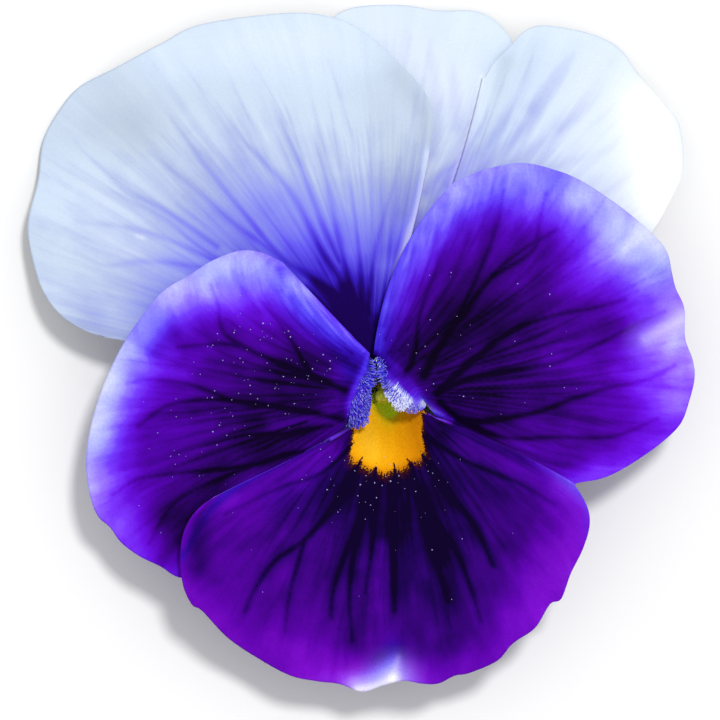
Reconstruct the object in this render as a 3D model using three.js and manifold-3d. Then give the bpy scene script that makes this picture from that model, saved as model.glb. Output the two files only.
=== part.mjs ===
// A single picked pansy bloom, lying on its back with its face up.
// Millimetres, +Z up, +Y towards the top of the flower's face, origin on the surface it lies on.
// Five petals, five sepals, five stamens, the pistil and the cut end of the stalk.

import * as THREE from 'three';
import { mergeVertices } from 'three/addons/utils/BufferGeometryUtils.js';
import Module from 'manifold-3d';

const wasm = await Module();
wasm.setup();

// ---- driving dimensions -------------------------------------------------------------------

const BLADE = 0.6;            // thickness of a petal or a sepal
const SEAT = 0.3;             // gap between a piece and what carries it
const RANK_STEP = 1.4;        // height between petals that lie over each other
const CLAW_SHARE = 0.22;      // part of a petal's rows that is its narrow claw

const AXIS = { x: 2.4, y: -3.2 };     // the flower's axis, through receptacle and ovary
const RECEPTACLE = { radius: 2.3, bottom: 4.2, top: 5.6 };
const CLAW_RING = 1.9;        // radius at which the five claws stand on the receptacle
const CLAW_FOOT = RECEPTACLE.top + SEAT;

// The face is a shallow dome that droops to its sides, its top and its bottom.
const FACE = {
  x: 2.4, y: -4.5, height: 11, rise: 1, riseRadius: 10,
  dome: 0.0028, domeFrom: 10,
  sides: 0.006, sidesFrom: 12,
  top: 0.007, topFrom: 6,
  bottom: 0.005, bottomFrom: -10,
};

// The pleat of the upper right petal. Its turns and its flat layer open over these shares of
// the petal's length, and the lobe beyond it comes back down over fadesBy of its width.
const PLEAT = {
  turnRadius: 0.45, flat: 3.4, flatLeast: 0.6,
  turnsFrom: 0.38, turnsTo: 0.72, flatFrom: 0.55, fadesBy: 0.75,
  leftShare: 16 / 56, rightShare: 28 / 56,
};

// The spur widens from its mouth to its blunt end. Its tube stands collar above the mouth and is
// trimmed to lip over the petal; its hollow is cut from opening above the mouth.
const SPUR = {
  mouth: [2.8, -6.1, 7.7], end: [2.9, -10.4, 4.3],
  mouthRadius: 1.3, radius: 1.75, wall: 0.55, sides: 20, blunt: [22, 45, 68],
  lip: 0.15, collar: 0.6, opening: 1.6, trimTo: 4,
};

// A sepal's half widths are listed at even steps from the foot of its auricle to its tip.
const SEPAL = {
  length: 15, ring: 2.9, foot: 2.6, shoulder: 6.1, tip: 7.4, bulge: 0.5, trough: 0.05,
  halfWidths: [0.7, 1.15, 1.1, 2.2, 2.6, 2.3, 1.45, 0.2],
  rows: [0, 0.08, 0.17, 0.24, 0.31, 0.42, 0.56, 0.7, 0.85, 1],
  angles: {
    sepal_top: 92, sepal_upper_left: 159, sepal_upper_right: 25,
    sepal_lower_left: 221, sepal_lower_right: 323,
  },
};

const STALK = { radius: 1, length: 24, bend: 4, sides: 8, rootedBy: 0.6 };
const STAMEN = {
  ring: 1.0, thick: 0.45, height: 1.6, count: 5,
  halfWidths: [0.34, 0.43, 0.43, 0.36, 0.17], rows: [0, 0.2, 0.5, 0.72, 0.88, 1],
};
const PISTIL = {
  ovaryRadius: 0.5, ovaryHeight: 1.4, styleRadius: 0.25, styleBend: 0.6,
  head: [2.35, -5.2, 8.85], headRadius: 0.8,
};

// ---- helpers ------------------------------------------------------------------------------

const { lerp, clamp, degToRad } = THREE.MathUtils;
const smooth = (x) => THREE.MathUtils.smoothstep(x, 0, 1);
const beyond = (x, limit) => Math.max(0, x - limit);
const vector = ([x, y, z = 0]) => new THREE.Vector3(x, y, z);

/** A smooth curve through points given as [x, y] or [x, y, z]. */
function rail(points) {
  return new THREE.CatmullRomCurve3(points.map(vector), false, 'catmullrom', 0.5);
}

/** A value that varies smoothly with u along a list given at even steps. */
function dial(list) {
  const curve = rail(list.map((value) => [value, 0]));
  return (u) => curve.getPoint(u).x;
}

/** Height of the lateral petals' face over the surface; other petals lie above or below it. */
function faceHeight(x, y) {
  const r = Math.hypot(x - FACE.x, y - FACE.y);
  return FACE.height + FACE.rise * smooth(r / FACE.riseRadius)
    - FACE.dome * beyond(r, FACE.domeFrom) ** 2
    - FACE.sides * beyond(Math.abs(x - FACE.x), FACE.sidesFrom) ** 2
    - FACE.top * beyond(y, FACE.topFrom) ** 2
    - FACE.bottom * beyond(FACE.bottomFrom, y) ** 2;
}

/** A point in plan on the ray from a crest point to a margin point, bowed to its right. */
function ray(crest, margin, bow, w) {
  const run = margin.clone().sub(crest);
  const knee = crest.clone().addScaledVector(run, 0.5);
  knee.add(new THREE.Vector3(run.y, -run.x, 0).multiplyScalar(bow));
  return new THREE.QuadraticBezierCurve3(crest, knee, margin).getPoint(w);
}

/** Triangles between two rows of points that need not have the same number of points. */
function zip(first, second) {
  const cells = [];
  let i = 0;
  let j = 0;
  while (i < first.length - 1 || j < second.length - 1) {
    const nextFirst = i < first.length - 1 ? first[i + 1].u : Infinity;
    const nextSecond = j < second.length - 1 ? second[j + 1].u : Infinity;
    if (nextFirst <= nextSecond) {
      cells.push([first[i].index, first[i + 1].index, second[j].index]);
      i += 1;
    } else {
      cells.push([first[i].index, second[j + 1].index, second[j].index]);
      j += 1;
    }
  }
  return cells;
}

/**
 * A closed blade over a surface point(u, v), with both faces split alike. rows lists
 * [v, columns] from foot to margin; low and high are the offsets of its two faces.
 */
function blade(point, rows, low = -BLADE / 2, high = BLADE / 2) {
  const step = 1e-3;
  const middles = [];
  const normals = [];
  const lines = rows.map(([v, columns]) => {
    const line = [];
    for (let i = 0; i <= columns; i += 1) {
      const u = i / columns;
      const alongU = point(Math.min(1, u + step), v).sub(point(Math.max(0, u - step), v));
      const alongV = point(u, Math.min(1, v + step)).sub(point(u, Math.max(0, v - step)));
      line.push({ u, index: middles.length });
      middles.push(point(u, v));
      normals.push(alongV.cross(alongU).normalize());
    }
    return line;
  });
  const count = middles.length;
  const positions = [high, low].flatMap((offset) => middles.flatMap((middle, i) => (
    middle.clone().addScaledVector(normals[i], offset).toArray())));
  const faces = [];
  for (let i = 0; i < lines.length - 1; i += 1) {
    for (const [a, b, c] of zip(lines[i], lines[i + 1])) {
      faces.push(a, c, b, a + count, b + count, c + count);
    }
  }
  const rim = [
    ...lines[0].map((p) => p.index),
    ...lines.slice(1).map((line) => line.at(-1).index),
    ...lines.at(-1).slice(0, -1).reverse().map((p) => p.index),
    ...lines.slice(1, -1).reverse().map((line) => line[0].index),
  ];
  rim.forEach((a, i) => {
    const b = rim[(i + 1) % rim.length];
    faces.push(a, b, b + count, a, b + count, a + count);
  });
  const geometry = new THREE.BufferGeometry();
  geometry.setAttribute('position', new THREE.Float32BufferAttribute(positions, 3));
  geometry.setIndex(faces);
  return geometry;
}

/** A manifold-3d solid from a closed geometry. */
function solid(geometry) {
  const bare = geometry.clone();
  bare.deleteAttribute('normal');
  bare.deleteAttribute('uv');
  const merged = mergeVertices(bare, 1e-4);
  return new wasm.Manifold(new wasm.Mesh({
    numProp: 3,
    vertProperties: new Float32Array(merged.attributes.position.array),
    triVerts: new Uint32Array(merged.index.array),
  }));
}

/** A geometry from a manifold-3d solid. */
function geometryOf(shape) {
  const mesh = shape.getMesh();
  const geometry = new THREE.BufferGeometry();
  geometry.setAttribute('position', new THREE.Float32BufferAttribute(mesh.vertProperties, 3));
  geometry.setIndex(Array.from(mesh.triVerts));
  return geometry;
}

/** A turned solid whose profile is [radius, height] pairs, stood at from towards to. */
function turned(profile, sides, from = [0, 0, 0], to = [0, 0, 1]) {
  const outline = profile.map(([r, h]) => new THREE.Vector2(r, h));
  const geometry = new THREE.LatheGeometry(outline, sides);
  const direction = vector(to).sub(vector(from)).normalize();
  const up = new THREE.Vector3(0, 1, 0);
  geometry.applyQuaternion(new THREE.Quaternion().setFromUnitVectors(up, direction));
  return geometry.translate(...from);
}

// ---- petals -------------------------------------------------------------------------------

/** Plan of a plain petal: rays that fan out from its crest to its margin. */
function fan({ crest, margin, bow }) {
  const foot = rail(crest);
  const outline = rail(margin);
  const bowAt = dial(bow);
  return (u, w) => {
    const at = ray(foot.getPoint(u).setZ(0), outline.getPointAt(u), bowAt(u), w);
    return { x: at.x, y: at.y, lifted: 0 };
  };
}

/** Path across the pleat at a share w of the petal's length, after a share q of the path. */
function pleatAt(w, q) {
  const { turnRadius: r, flat, flatLeast, turnsFrom, turnsTo, flatFrom } = PLEAT;
  const opened = smooth((w - turnsFrom) / (turnsTo - turnsFrom));
  const turn = Math.PI * opened;
  const share = Math.max(opened / 3, 1e-6);
  const layer = lerp(flatLeast, flat, smooth((w - flatFrom) / (1 - flatFrom)));
  const first = turn * clamp(q / share, 0, 1);
  const middle = layer * clamp((q - share) / (1 - 2 * share), 0, 1);
  const last = turn * (1 - clamp((q - 1 + share) / share, 0, 1));
  return {
    advance: r * Math.sin(first) + middle * Math.cos(turn) + r * (Math.sin(turn) - Math.sin(last)),
    rise: r * (1 - Math.cos(first)) + middle * Math.sin(turn) + r * (Math.cos(last) - Math.cos(turn)),
  };
}

/** Plan of the upper right petal: a left part, the pleat, and the right lobe folded over it. */
function pleatedFan({ foldFoot, foldBow, leftCrest, leftMargin, rightCrest, rightMargin, bow }) {
  const line = (t) => ray(vector(foldFoot), vector(rightMargin[0]), foldBow, t);
  const across = (w) => {
    const run = line(Math.min(1, w + 1e-3)).sub(line(Math.max(0, w - 1e-3))).normalize();
    return new THREE.Vector3(run.y, -run.x, 0);
  };
  const start = (w) => line(w).addScaledVector(across(w), -pleatAt(w, 1).advance);
  const leftFoot = rail([leftCrest, start(0).toArray()]);
  const leftOutline = rail([...leftMargin, start(1).toArray()]);
  const rightFoot = rail([foldFoot, rightCrest]);
  const rightOutline = rail(rightMargin);
  const bowAt = dial(bow);
  return (u, w) => {
    const { leftShare, rightShare, fadesBy } = PLEAT;
    if (u <= leftShare) {
      const s = u / leftShare;
      const free = ray(leftFoot.getPoint(s), leftOutline.getPointAt(s), 0, w);
      const last = ray(leftFoot.getPoint(1), leftOutline.getPointAt(1), 0, w);
      free.addScaledVector(start(w).sub(last), s * s);
      return { x: free.x, y: free.y, lifted: 0 };
    }
    if (u < rightShare) {
      const { advance, rise } = pleatAt(w, (u - leftShare) / (rightShare - leftShare));
      const at = start(w).addScaledVector(across(w), advance);
      return { x: at.x, y: at.y, lifted: rise };
    }
    const s = (u - rightShare) / (1 - rightShare);
    const at = ray(rightFoot.getPoint(s), rightOutline.getPointAt(s), bowAt(s), w);
    return { x: at.x, y: at.y, lifted: pleatAt(w, 1).rise * (1 - smooth(s / fadesBy)) };
  };
}

/** Surface of a petal over u across it and v from its foot on the receptacle to its margin. */
function petalSurface({ ring, lift, lean, crestHeights, settles, rank, ripple, plan }) {
  const leanAt = rail(lean);
  const crestHeight = dial(crestHeights);
  const settle = dial(settles);
  const limb = (u, w) => {
    const { x, y, lifted } = plan(u, w);
    const spread = faceHeight(x, y) + rank * RANK_STEP + ripple(u, w);
    return new THREE.Vector3(x, y, lerp(crestHeight(u), spread, smooth(w / settle(u))) + lifted);
  };
  return (u, v) => {
    if (v >= CLAW_SHARE) return limb(u, (v - CLAW_SHARE) / (1 - CLAW_SHARE));
    const angle = degToRad(lerp(ring[0], ring[1], u));
    const foot = new THREE.Vector3(AXIS.x + CLAW_RING * Math.cos(angle),
      AXIS.y + CLAW_RING * Math.sin(angle), CLAW_FOOT);
    const risen = foot.clone().setZ(CLAW_FOOT + lift);
    const path = new THREE.CubicBezierCurve3(foot, risen, leanAt.getPoint(u), limb(u, 0));
    return path.getPoint(v / CLAW_SHARE);
  };
}

/** Rows of a petal's mesh: few columns at the claw, all of them over the outer part. */
function petalRows(columns) {
  const clawRows = [[0, 4], [0.35, 4], [0.7, 4]];
  const limbRows = [[0, 4], [0.09, 4], [0.2, 2], [0.34, 1], [0.48, 1], [0.62, 1], [0.76, 1],
    [0.89, 1], [1, 1]];
  return [
    ...clawRows.map(([s, share]) => [CLAW_SHARE * s, columns / share]),
    ...limbRows.map(([w, share]) => [lerp(CLAW_SHARE, 1, w), columns / share]),
  ];
}

/** A petal that lies clear of the surface. */
function raisedPetal(petal) {
  return blade(petalSurface(petal), petalRows(petal.columns));
}

/** A petal whose margin droops until its lowest point lies on the surface. */
function restingPetal(petal) {
  const free = raisedPetal(petal);
  free.computeBoundingBox();
  const clearance = free.boundingBox.min.z;
  const ripple = (u, w) => petal.ripple(u, w) - clearance * w ** 3;
  return raisedPetal({ ...petal, ripple });
}

const PETALS = {
  petal_upper_right: {
    make: restingPetal, columns: 56, rank: -2, ring: [84, 43], lift: 1.0, colour: 0xe3edf8,
    lean: [[2.4, -1.0, 7.4], [4.0, -1.9, 7.4]],
    crestHeights: [7.6, 7.6, 7.6],
    settles: [0.3, 0.3, 0.3],
    plan: pleatedFan({
      foldFoot: [2.9, -0.5], foldBow: 0.06, bow: [0.06, 0, -0.04],
      leftCrest: [2.0, 0.1], rightCrest: [4.3, -1.0],
      leftMargin: [[-4.4, 28.0], [-4.2, 32.7], [-2.8, 34.8], [-0.3, 35.9], [4.3, 36.1],
        [8.3, 35.5], [11.8, 35.5], [13.9, 34.7], [15.4, 33.2], [16.2, 31.6]],
      rightMargin: [[13.2, 28.4], [14.2, 30.0], [15.8, 31.6], [17.3, 33.2], [19.2, 33.9],
        [22.9, 33.4], [25.8, 32.5], [27.7, 31.2], [29.3, 28.9], [32.2, 25.5], [33.6, 23.6],
        [34.1, 20.4], [33.8, 17.8], [32.5, 15.1], [30.7, 12.0], [27.8, 8.9], [24.1, 6.5]],
    }),
    ripple: (u, w) => 0.2 * w ** 3 * Math.sin(2 * Math.PI * 7 * u),
  },
  petal_upper_left: {
    make: restingPetal, columns: 44, rank: -1, ring: [146, 100], lift: 1.2, colour: 0xdfe9f6,
    lean: [[0.6, -1.9, 8.4], [2.0, -1.1, 8.4]],
    crestHeights: [8.9, 8.9, 8.9],
    settles: [0.3, 0.3, 0.3],
    plan: fan({
      crest: [[-0.7, -1.6], [1.7, 0.1]],
      margin: [[-20.5, 0.2], [-24.7, 0.8], [-28.1, 1.4], [-31.3, 3.2], [-33.4, 5.9],
        [-34.6, 9.6], [-35.0, 13.1], [-34.0, 17.5], [-33.5, 21.7], [-31.8, 25.0],
        [-29.6, 27.5], [-25.7, 29.5], [-21.0, 32.0], [-16.8, 34.0], [-7.7, 35.2],
        [-2.8, 34.7], [0.6, 33.0], [4.0, 29.9], [6.7, 26.9], [7.8, 24.0]],
      bow: [-0.06, -0.03, 0, 0.04, 0.06],
    }),
    ripple: (u, w) => 0.25 * w ** 4 * Math.sin(2 * Math.PI * 8 * u) * (1 - smooth((u - 0.6) / 0.2))
      - 1.3 * smooth(w / 0.7) * Math.exp(-(((u - 0.4) / 0.1) ** 2))
      + 1.3 * smooth((u - 0.82) / 0.18) * smooth((w - 0.3) / 0.5),
  },
  petal_lateral_left: {
    make: raisedPetal, columns: 44, rank: 0, ring: [166, 226], lift: 4.5, colour: 0x4a12a8,
    lean: [[0.6, -2.7, 11.2], [1.4, -3.6, 12.3], [1.5, -7.2, 12.3], [1.2, -9.8, 12.3]],
    crestHeights: [10.9, 11.9, 12.0, 11.2, 9.4],
    settles: [0.25, 0.25, 0.25, 0.3, 0.6],
    plan: fan({
      crest: [[0.9, -0.7], [0.2, -3.0], [-0.8, -5.1], [-1.1, -6.9], [-1.3, -7.7]],
      margin: [[-8.1, 8.8], [-10.3, 9.8], [-12.6, 10.0], [-15.4, 9.0], [-18.1, 7.3],
        [-20.7, 5.7], [-22.8, 3.2], [-25.0, -0.1], [-27.0, -4.4], [-28.2, -8.2],
        [-28.7, -11.4], [-28.6, -14.0], [-28.1, -16.4], [-27.4, -17.9], [-26.2, -19.0],
        [-25.0, -20.6], [-23.1, -22.0], [-21.0, -23.0], [-18.9, -24.2], [-16.0, -24.0],
        [-13.1, -22.4]],
      bow: [0, 0, 0, 0, 0.06],
    }),
    ripple: (u, w) => 0.35 * w ** 4 * Math.sin(2 * Math.PI * 5 * u)
      * smooth(u / 0.15) * smooth((0.9 - u) / 0.15),
  },
  petal_lateral_right: {
    make: raisedPetal, columns: 44, rank: 0, ring: [22, -39], lift: 5.4, colour: 0x4a12a8,
    lean: [[3.6, -2.3, 11.4], [1.2, -5.0, 12.3], [3.6, -8.4, 12.4], [7.0, -8.4, 11.8]],
    crestHeights: [10.9, 11.9, 12.2, 11.4, 9.6],
    settles: [0.25, 0.25, 0.25, 0.3, 0.6],
    plan: fan({
      crest: [[1.5, -0.7], [3.4, -2.0], [5.3, -3.9], [6.3, -5.0], [6.8, -5.6]],
      margin: [[9.7, 17.1], [13.0, 18.5], [16.9, 19.2], [20.7, 18.4], [23.1, 17.4],
        [25.5, 15.9], [28.1, 14.0], [30.7, 11.8], [32.2, 9.9], [32.7, 7.8], [33.1, 6.1],
        [34.0, 4.0], [34.1, 0.9], [34.9, -1.4], [35.1, -3.3], [34.5, -5.8], [33.6, -8.1],
        [31.6, -10.1], [29.2, -11.8], [26.8, -13.2], [25.0, -13.9], [22.4, -14.4],
        [19.4, -15.6]],
      bow: [-0.18, -0.06, 0, 0, -0.07],
    }),
    ripple: (u, w) => 0.35 * w ** 4 * Math.sin(2 * Math.PI * 6 * u + 1)
      * smooth(u / 0.15) * smooth((0.9 - u) / 0.15) + 0.5 * w ** 3 * (1 - smooth(u / 0.25)),
  },
  petal_lower: {
    make: lowerPetal, columns: 52, rank: 1, ring: [241, 295], lift: 1.0, colour: 0x3c0a96,
    lean: [[0.2, -6.4, 7.6], [2.7, -5.4, 6.9], [5.6, -5.9, 7.6]],
    crestHeights: [9.6, 8.2, 7.2, 8.2, 9.6],
    settles: [0.17, 0.28, 0.32, 0.28, 0.17],
    plan: fan({
      crest: [[-0.7, -8.5], [0.6, -6.9], [2.7, -5.5], [4.9, -6.2], [7.0, -7.1]],
      margin: [[-15.2, -15.8], [-17.2, -17.3], [-18.4, -19.4], [-18.8, -22.0], [-18.5, -25.0],
        [-17.6, -27.0], [-16.5, -27.7], [-13.9, -30.5], [-10.7, -32.7], [-7.3, -34.5],
        [-4.4, -35.1], [-2.1, -35.4], [0.2, -36.2], [2.5, -35.5], [4.6, -35.0], [6.4, -35.3],
        [8.2, -35.3], [9.9, -34.5], [11.5, -34.2], [14.4, -32.9], [16.0, -31.1],
        [18.3, -29.5], [19.9, -27.0], [21.1, -26.4], [22.1, -23.7], [23.3, -21.2],
        [24.0, -18.7], [23.7, -16.6], [22.3, -14.3]],
      bow: [0, 0, 0, 0, -0.05],
    }),
    ripple: (u, w) => 0.5 * w ** 4 * Math.sin(2 * Math.PI * 6 * u)
      + 0.8 * smooth((w - 0.4) / 0.6) * Math.sin(2 * Math.PI * 2 * u + 0.8),
  },
};

/** The spur's outside, or its inside where inset is the wall, standing reach above the mouth. */
function spurSolid(inset, reach) {
  const length = vector(SPUR.end).distanceTo(vector(SPUR.mouth));
  const mouth = SPUR.mouthRadius - inset;
  const body = SPUR.radius - inset;
  const profile = [[0, -reach], [mouth, -reach], [mouth, 0],
    [lerp(mouth, body, 0.7), 0.3 * length], [body, 0.6 * length], [body, length]];
  for (const turn of SPUR.blunt.map(degToRad)) {
    profile.push([body * Math.cos(turn), length + body * Math.sin(turn)]);
  }
  profile.push([0, length + body]);
  return solid(turned(profile, SPUR.sides, SPUR.mouth, SPUR.end));
}

/** The lower petal: its blade with the hollow spur joined on and opened into the throat. */
function lowerPetal(petal) {
  const surface = petalSurface(petal);
  const rows = petalRows(petal.columns);
  const above = solid(blade(surface, rows, BLADE / 2 + SPUR.lip, SPUR.trimTo));
  const tube = spurSolid(0, SPUR.collar).subtract(above);
  const hollow = spurSolid(SPUR.wall, SPUR.opening);
  return geometryOf(solid(blade(surface, rows)).add(tube).subtract(hollow));
}

// ---- sepals, stalk, stamens and pistil ----------------------------------------------------

/** A sepal: its auricle hangs beside the receptacle, its blade lies under the petals. */
function sepal(angleDegrees) {
  const { ring, foot, shoulder, tip, length, bulge, trough } = SEPAL;
  const angle = degToRad(angleDegrees);
  const profile = rail([
    [ring + bulge, 0, foot], [ring, 0, lerp(foot, shoulder, 0.55)], [ring + bulge, 0, shoulder],
    [ring + length / 3, 0, lerp(shoulder, tip, 0.6)], [ring + length, 0, tip],
  ]);
  const halfWidth = dial(SEPAL.halfWidths);
  const surface = (u, v) => {
    const middle = profile.getPointAt(v);
    const side = (0.5 - u) * 2 * halfWidth(v);
    return new THREE.Vector3(
      AXIS.x + middle.x * Math.cos(angle) - side * Math.sin(angle),
      AXIS.y + middle.x * Math.sin(angle) + side * Math.cos(angle),
      middle.z - trough * side * side,
    );
  };
  return blade(surface, SEPAL.rows.map((v) => [v, 6]));
}

/** The receptacle and the cut stalk, hooked back so that its flat underside lies down. */
function stalk() {
  const { radius, length, bend, sides, rootedBy } = STALK;
  const section = new THREE.Shape();
  for (let i = 0; i < sides; i += 1) {
    const angle = ((2 * i + 1) * Math.PI) / sides;
    section[i ? 'lineTo' : 'moveTo'](radius * Math.cos(angle), radius * Math.sin(angle));
  }
  const flat = radius * Math.cos(Math.PI / sides);
  const top = vector([AXIS.x, AXIS.y, RECEPTACLE.bottom + rootedBy]);
  const turn = vector([AXIS.x, AXIS.y, flat]);
  const laid = vector([AXIS.x, AXIS.y - bend, flat]);
  const path = new THREE.CurvePath();
  path.add(new THREE.QuadraticBezierCurve3(top, turn, laid));
  path.add(new THREE.LineCurve3(laid, vector([AXIS.x, AXIS.y - length, flat])));
  const stem = new THREE.ExtrudeGeometry(section, { steps: 22, extrudePath: path });
  const { radius: wide, bottom, top: rim } = RECEPTACLE;
  const cup = turned([[0, bottom], [0.55 * wide, bottom], [0.85 * wide, lerp(bottom, rim, 0.3)],
    [wide, lerp(bottom, rim, 0.65)], [wide, rim], [0, rim]], 24,
  [AXIS.x, AXIS.y, 0], [AXIS.x, AXIS.y, 1]);
  return geometryOf(solid(cup).add(solid(stem)));
}

/** A stamen: a short curved shield beside the ovary, drawn in to its tip. */
function stamen(angleDegrees) {
  const { ring, thick, height, rows } = STAMEN;
  const halfWidth = dial(STAMEN.halfWidths);
  const surface = (u, v) => {
    const angle = degToRad(angleDegrees) - ((u - 0.5) * 2 * halfWidth(v)) / ring;
    return new THREE.Vector3(AXIS.x + ring * Math.cos(angle), AXIS.y + ring * Math.sin(angle),
      CLAW_FOOT + v * height);
  };
  return blade(surface, rows.map((v) => [v, 4]), -thick / 2, thick / 2);
}

/** The pistil: ovary, bent style and the round head of the stigma. */
function pistil() {
  const { ovaryRadius: r, ovaryHeight: h, styleRadius, styleBend, head, headRadius } = PISTIL;
  const ovary = turned([[0, 0], [0.7 * r, 0], [r, 0.3 * h], [r, 0.6 * h], [0.6 * r, 0.9 * h],
    [0, h]], 16, [AXIS.x, AXIS.y, CLAW_FOOT], [AXIS.x, AXIS.y, CLAW_FOOT + h]);
  const circle = new THREE.Shape().absarc(0, 0, styleRadius, 0, 2 * Math.PI);
  const path = new THREE.CubicBezierCurve3(
    vector([AXIS.x, AXIS.y, CLAW_FOOT + 0.7 * h]), vector([AXIS.x, AXIS.y, head[2]]),
    vector([AXIS.x, AXIS.y - styleBend, head[2]]), vector(head),
  );
  const style = new THREE.ExtrudeGeometry(circle, { steps: 8, curveSegments: 6, extrudePath: path });
  const knob = new THREE.SphereGeometry(headRadius, 16, 12).translate(...head);
  return geometryOf(solid(ovary).add(solid(style)).add(solid(knob)));
}

// ---- the bloom ----------------------------------------------------------------------------

const group = new THREE.Group();

/** Adds one named piece with its own material. */
function add(name, geometry, colour, roughness = 0.6) {
  const material = new THREE.MeshStandardMaterial({ color: colour, roughness, metalness: 0 });
  const mesh = new THREE.Mesh(geometry, material);
  mesh.name = name;
  group.add(mesh);
}

for (const [name, petal] of Object.entries(PETALS)) add(name, petal.make(petal), petal.colour);
for (const [name, angle] of Object.entries(SEPAL.angles)) add(name, sepal(angle), 0x6f9440);
for (let i = 0; i < STAMEN.count; i += 1) {
  add(`stamen_${i + 1}`, stamen(90 + (360 * i) / STAMEN.count), 0xd9822b);
}
add('pistil', pistil(), 0x9aa83a, 0.45);
add('stalk', stalk(), 0x789a48);

export default group;
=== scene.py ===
import logging
import math
import random
from dataclasses import dataclass, field
from enum import Enum
from typing import Callable, Sequence

import bpy
import numpy as np
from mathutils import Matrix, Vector


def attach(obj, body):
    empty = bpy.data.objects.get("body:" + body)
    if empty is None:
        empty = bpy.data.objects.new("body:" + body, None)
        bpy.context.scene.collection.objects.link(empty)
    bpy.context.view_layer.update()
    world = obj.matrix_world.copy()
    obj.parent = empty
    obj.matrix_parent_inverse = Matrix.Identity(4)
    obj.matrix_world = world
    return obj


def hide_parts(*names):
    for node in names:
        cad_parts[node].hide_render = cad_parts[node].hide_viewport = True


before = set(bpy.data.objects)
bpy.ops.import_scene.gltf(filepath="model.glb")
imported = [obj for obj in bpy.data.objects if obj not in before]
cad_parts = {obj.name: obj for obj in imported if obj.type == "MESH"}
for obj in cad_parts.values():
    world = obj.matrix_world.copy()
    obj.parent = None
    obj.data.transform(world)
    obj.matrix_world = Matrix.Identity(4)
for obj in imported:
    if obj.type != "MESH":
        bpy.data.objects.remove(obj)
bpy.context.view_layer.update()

# Lengths are given in millimetres and turned to metres when a mesh is made.
MM = 0.001
BODY = "root"
LOG = logging.getLogger("pansy")

Array = np.ndarray
Pair = tuple[float, float]
Points = Sequence[Sequence[float]]
Stops = Sequence[tuple[float, str]]

# The flower's axis, and the ring of claws round it, as in the solids.
AXIS = (2.4, -3.2)
RANK_STEP = 1.4
CLAW_SHARE = 0.22
CLAW_RING = 1.9
CLAW_FOOT = 5.9

SEPAL_BEARINGS = {"sepal_top": 92, "sepal_upper_left": 159, "sepal_upper_right": 25,
                  "sepal_lower_left": 221, "sepal_lower_right": 323}

# Petal blades are drawn a little thinner than their solids, and thinnest at the margin.
BLADE = 0.38
MARGIN_SHARE = 0.55
VEIN_GROOVE = 0.05

TURN = 2 * math.pi


# ---- curves and surfaces ------------------------------------------------------------------


def smooth(x: Array | float) -> Array:
    """Returns x eased from 0 to 1 between 0 and 1, and held beyond."""
    x = np.clip(x, 0.0, 1.0)
    return x * x * (3.0 - 2.0 * x)


def ease(x: Array, start: float, end: float) -> Array:
    """Returns x eased from 0 at start to 1 at end, which may be the lower of the two."""
    return smooth((x - start) / (end - start))


def mix(a: Array | float, b: Array | float, t: Array | float) -> Array:
    """Returns the value a share t of the way from a to b."""
    return a + (b - a) * t


def bell(x: Array | float, centre: float, width: float) -> Array:
    """Returns a bump of height 1 about centre that has faded to 0.37 at width away."""
    return np.exp(-(((x - centre) / width) ** 2))


def fade(r: Array, half: Array | float, power: float) -> Array:
    """Returns 1 at r = 0, 0.5 at half, and less beyond, the more sharply the higher the power."""
    return 1 / (1 + (np.abs(r) / half) ** power)


def limb_share(v: Array) -> Array:
    """Returns the place along a petal's limb for its place from foot to margin."""
    return np.clip((v - CLAW_SHARE) / (1 - CLAW_SHARE), 0, 1)


class Rail:
    """A smooth curve through points, each of one, two or three numbers."""

    TICKS = np.linspace(0.0, 1.0, 201)

    def __init__(self, points: Points) -> None:
        """Measures the curve.

        Args:
            points: where it passes, in order.
        """
        given = np.array([list(p) + [0.0] * (3 - len(p)) for p in points], float)
        first, last = 2 * given[0] - given[1], 2 * given[-1] - given[-2]
        self.points = np.vstack([first, given, last])
        self.spans = len(given) - 1
        steps = np.linalg.norm(np.diff(self.at(self.TICKS), axis=0), axis=1)
        self.travelled = np.concatenate([[0.0], np.cumsum(steps)])

    def at(self, t: Array) -> Array:
        """Points at shares t of the curve, with every span given the same share.

        Args:
            t: shares from 0 to 1.

        Returns:
            One row of three numbers for each share.
        """
        place = np.clip(np.asarray(t, float), 0.0, 1.0) * self.spans
        span = np.minimum(place.astype(int), self.spans - 1)
        f = (place - span)[..., None]
        p0, p1, p2, p3 = (self.points[span + i] for i in range(4))
        m1, m2 = 0.5 * (p2 - p0), 0.5 * (p3 - p1)
        rise = f * f * (3 - 2 * f)
        return (p1 * (1 - rise) + p2 * rise
                + m1 * (f * (1 - f) ** 2) + m2 * (f * f * (f - 1)))

    def along(self, s: Array) -> Array:
        """Returns points, a row of three numbers each, at shares s of the curve's length."""
        return self.at(np.interp(np.asarray(s, float) * self.travelled[-1], self.travelled, self.TICKS))


def dial(values: Sequence[float]) -> Callable[[Array], Array]:
    """Returns a function that runs smoothly along a list given at even steps, from 0 to 1."""
    curve = Rail([[v] for v in values])
    return lambda u: curve.at(u)[..., 0]


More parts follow.
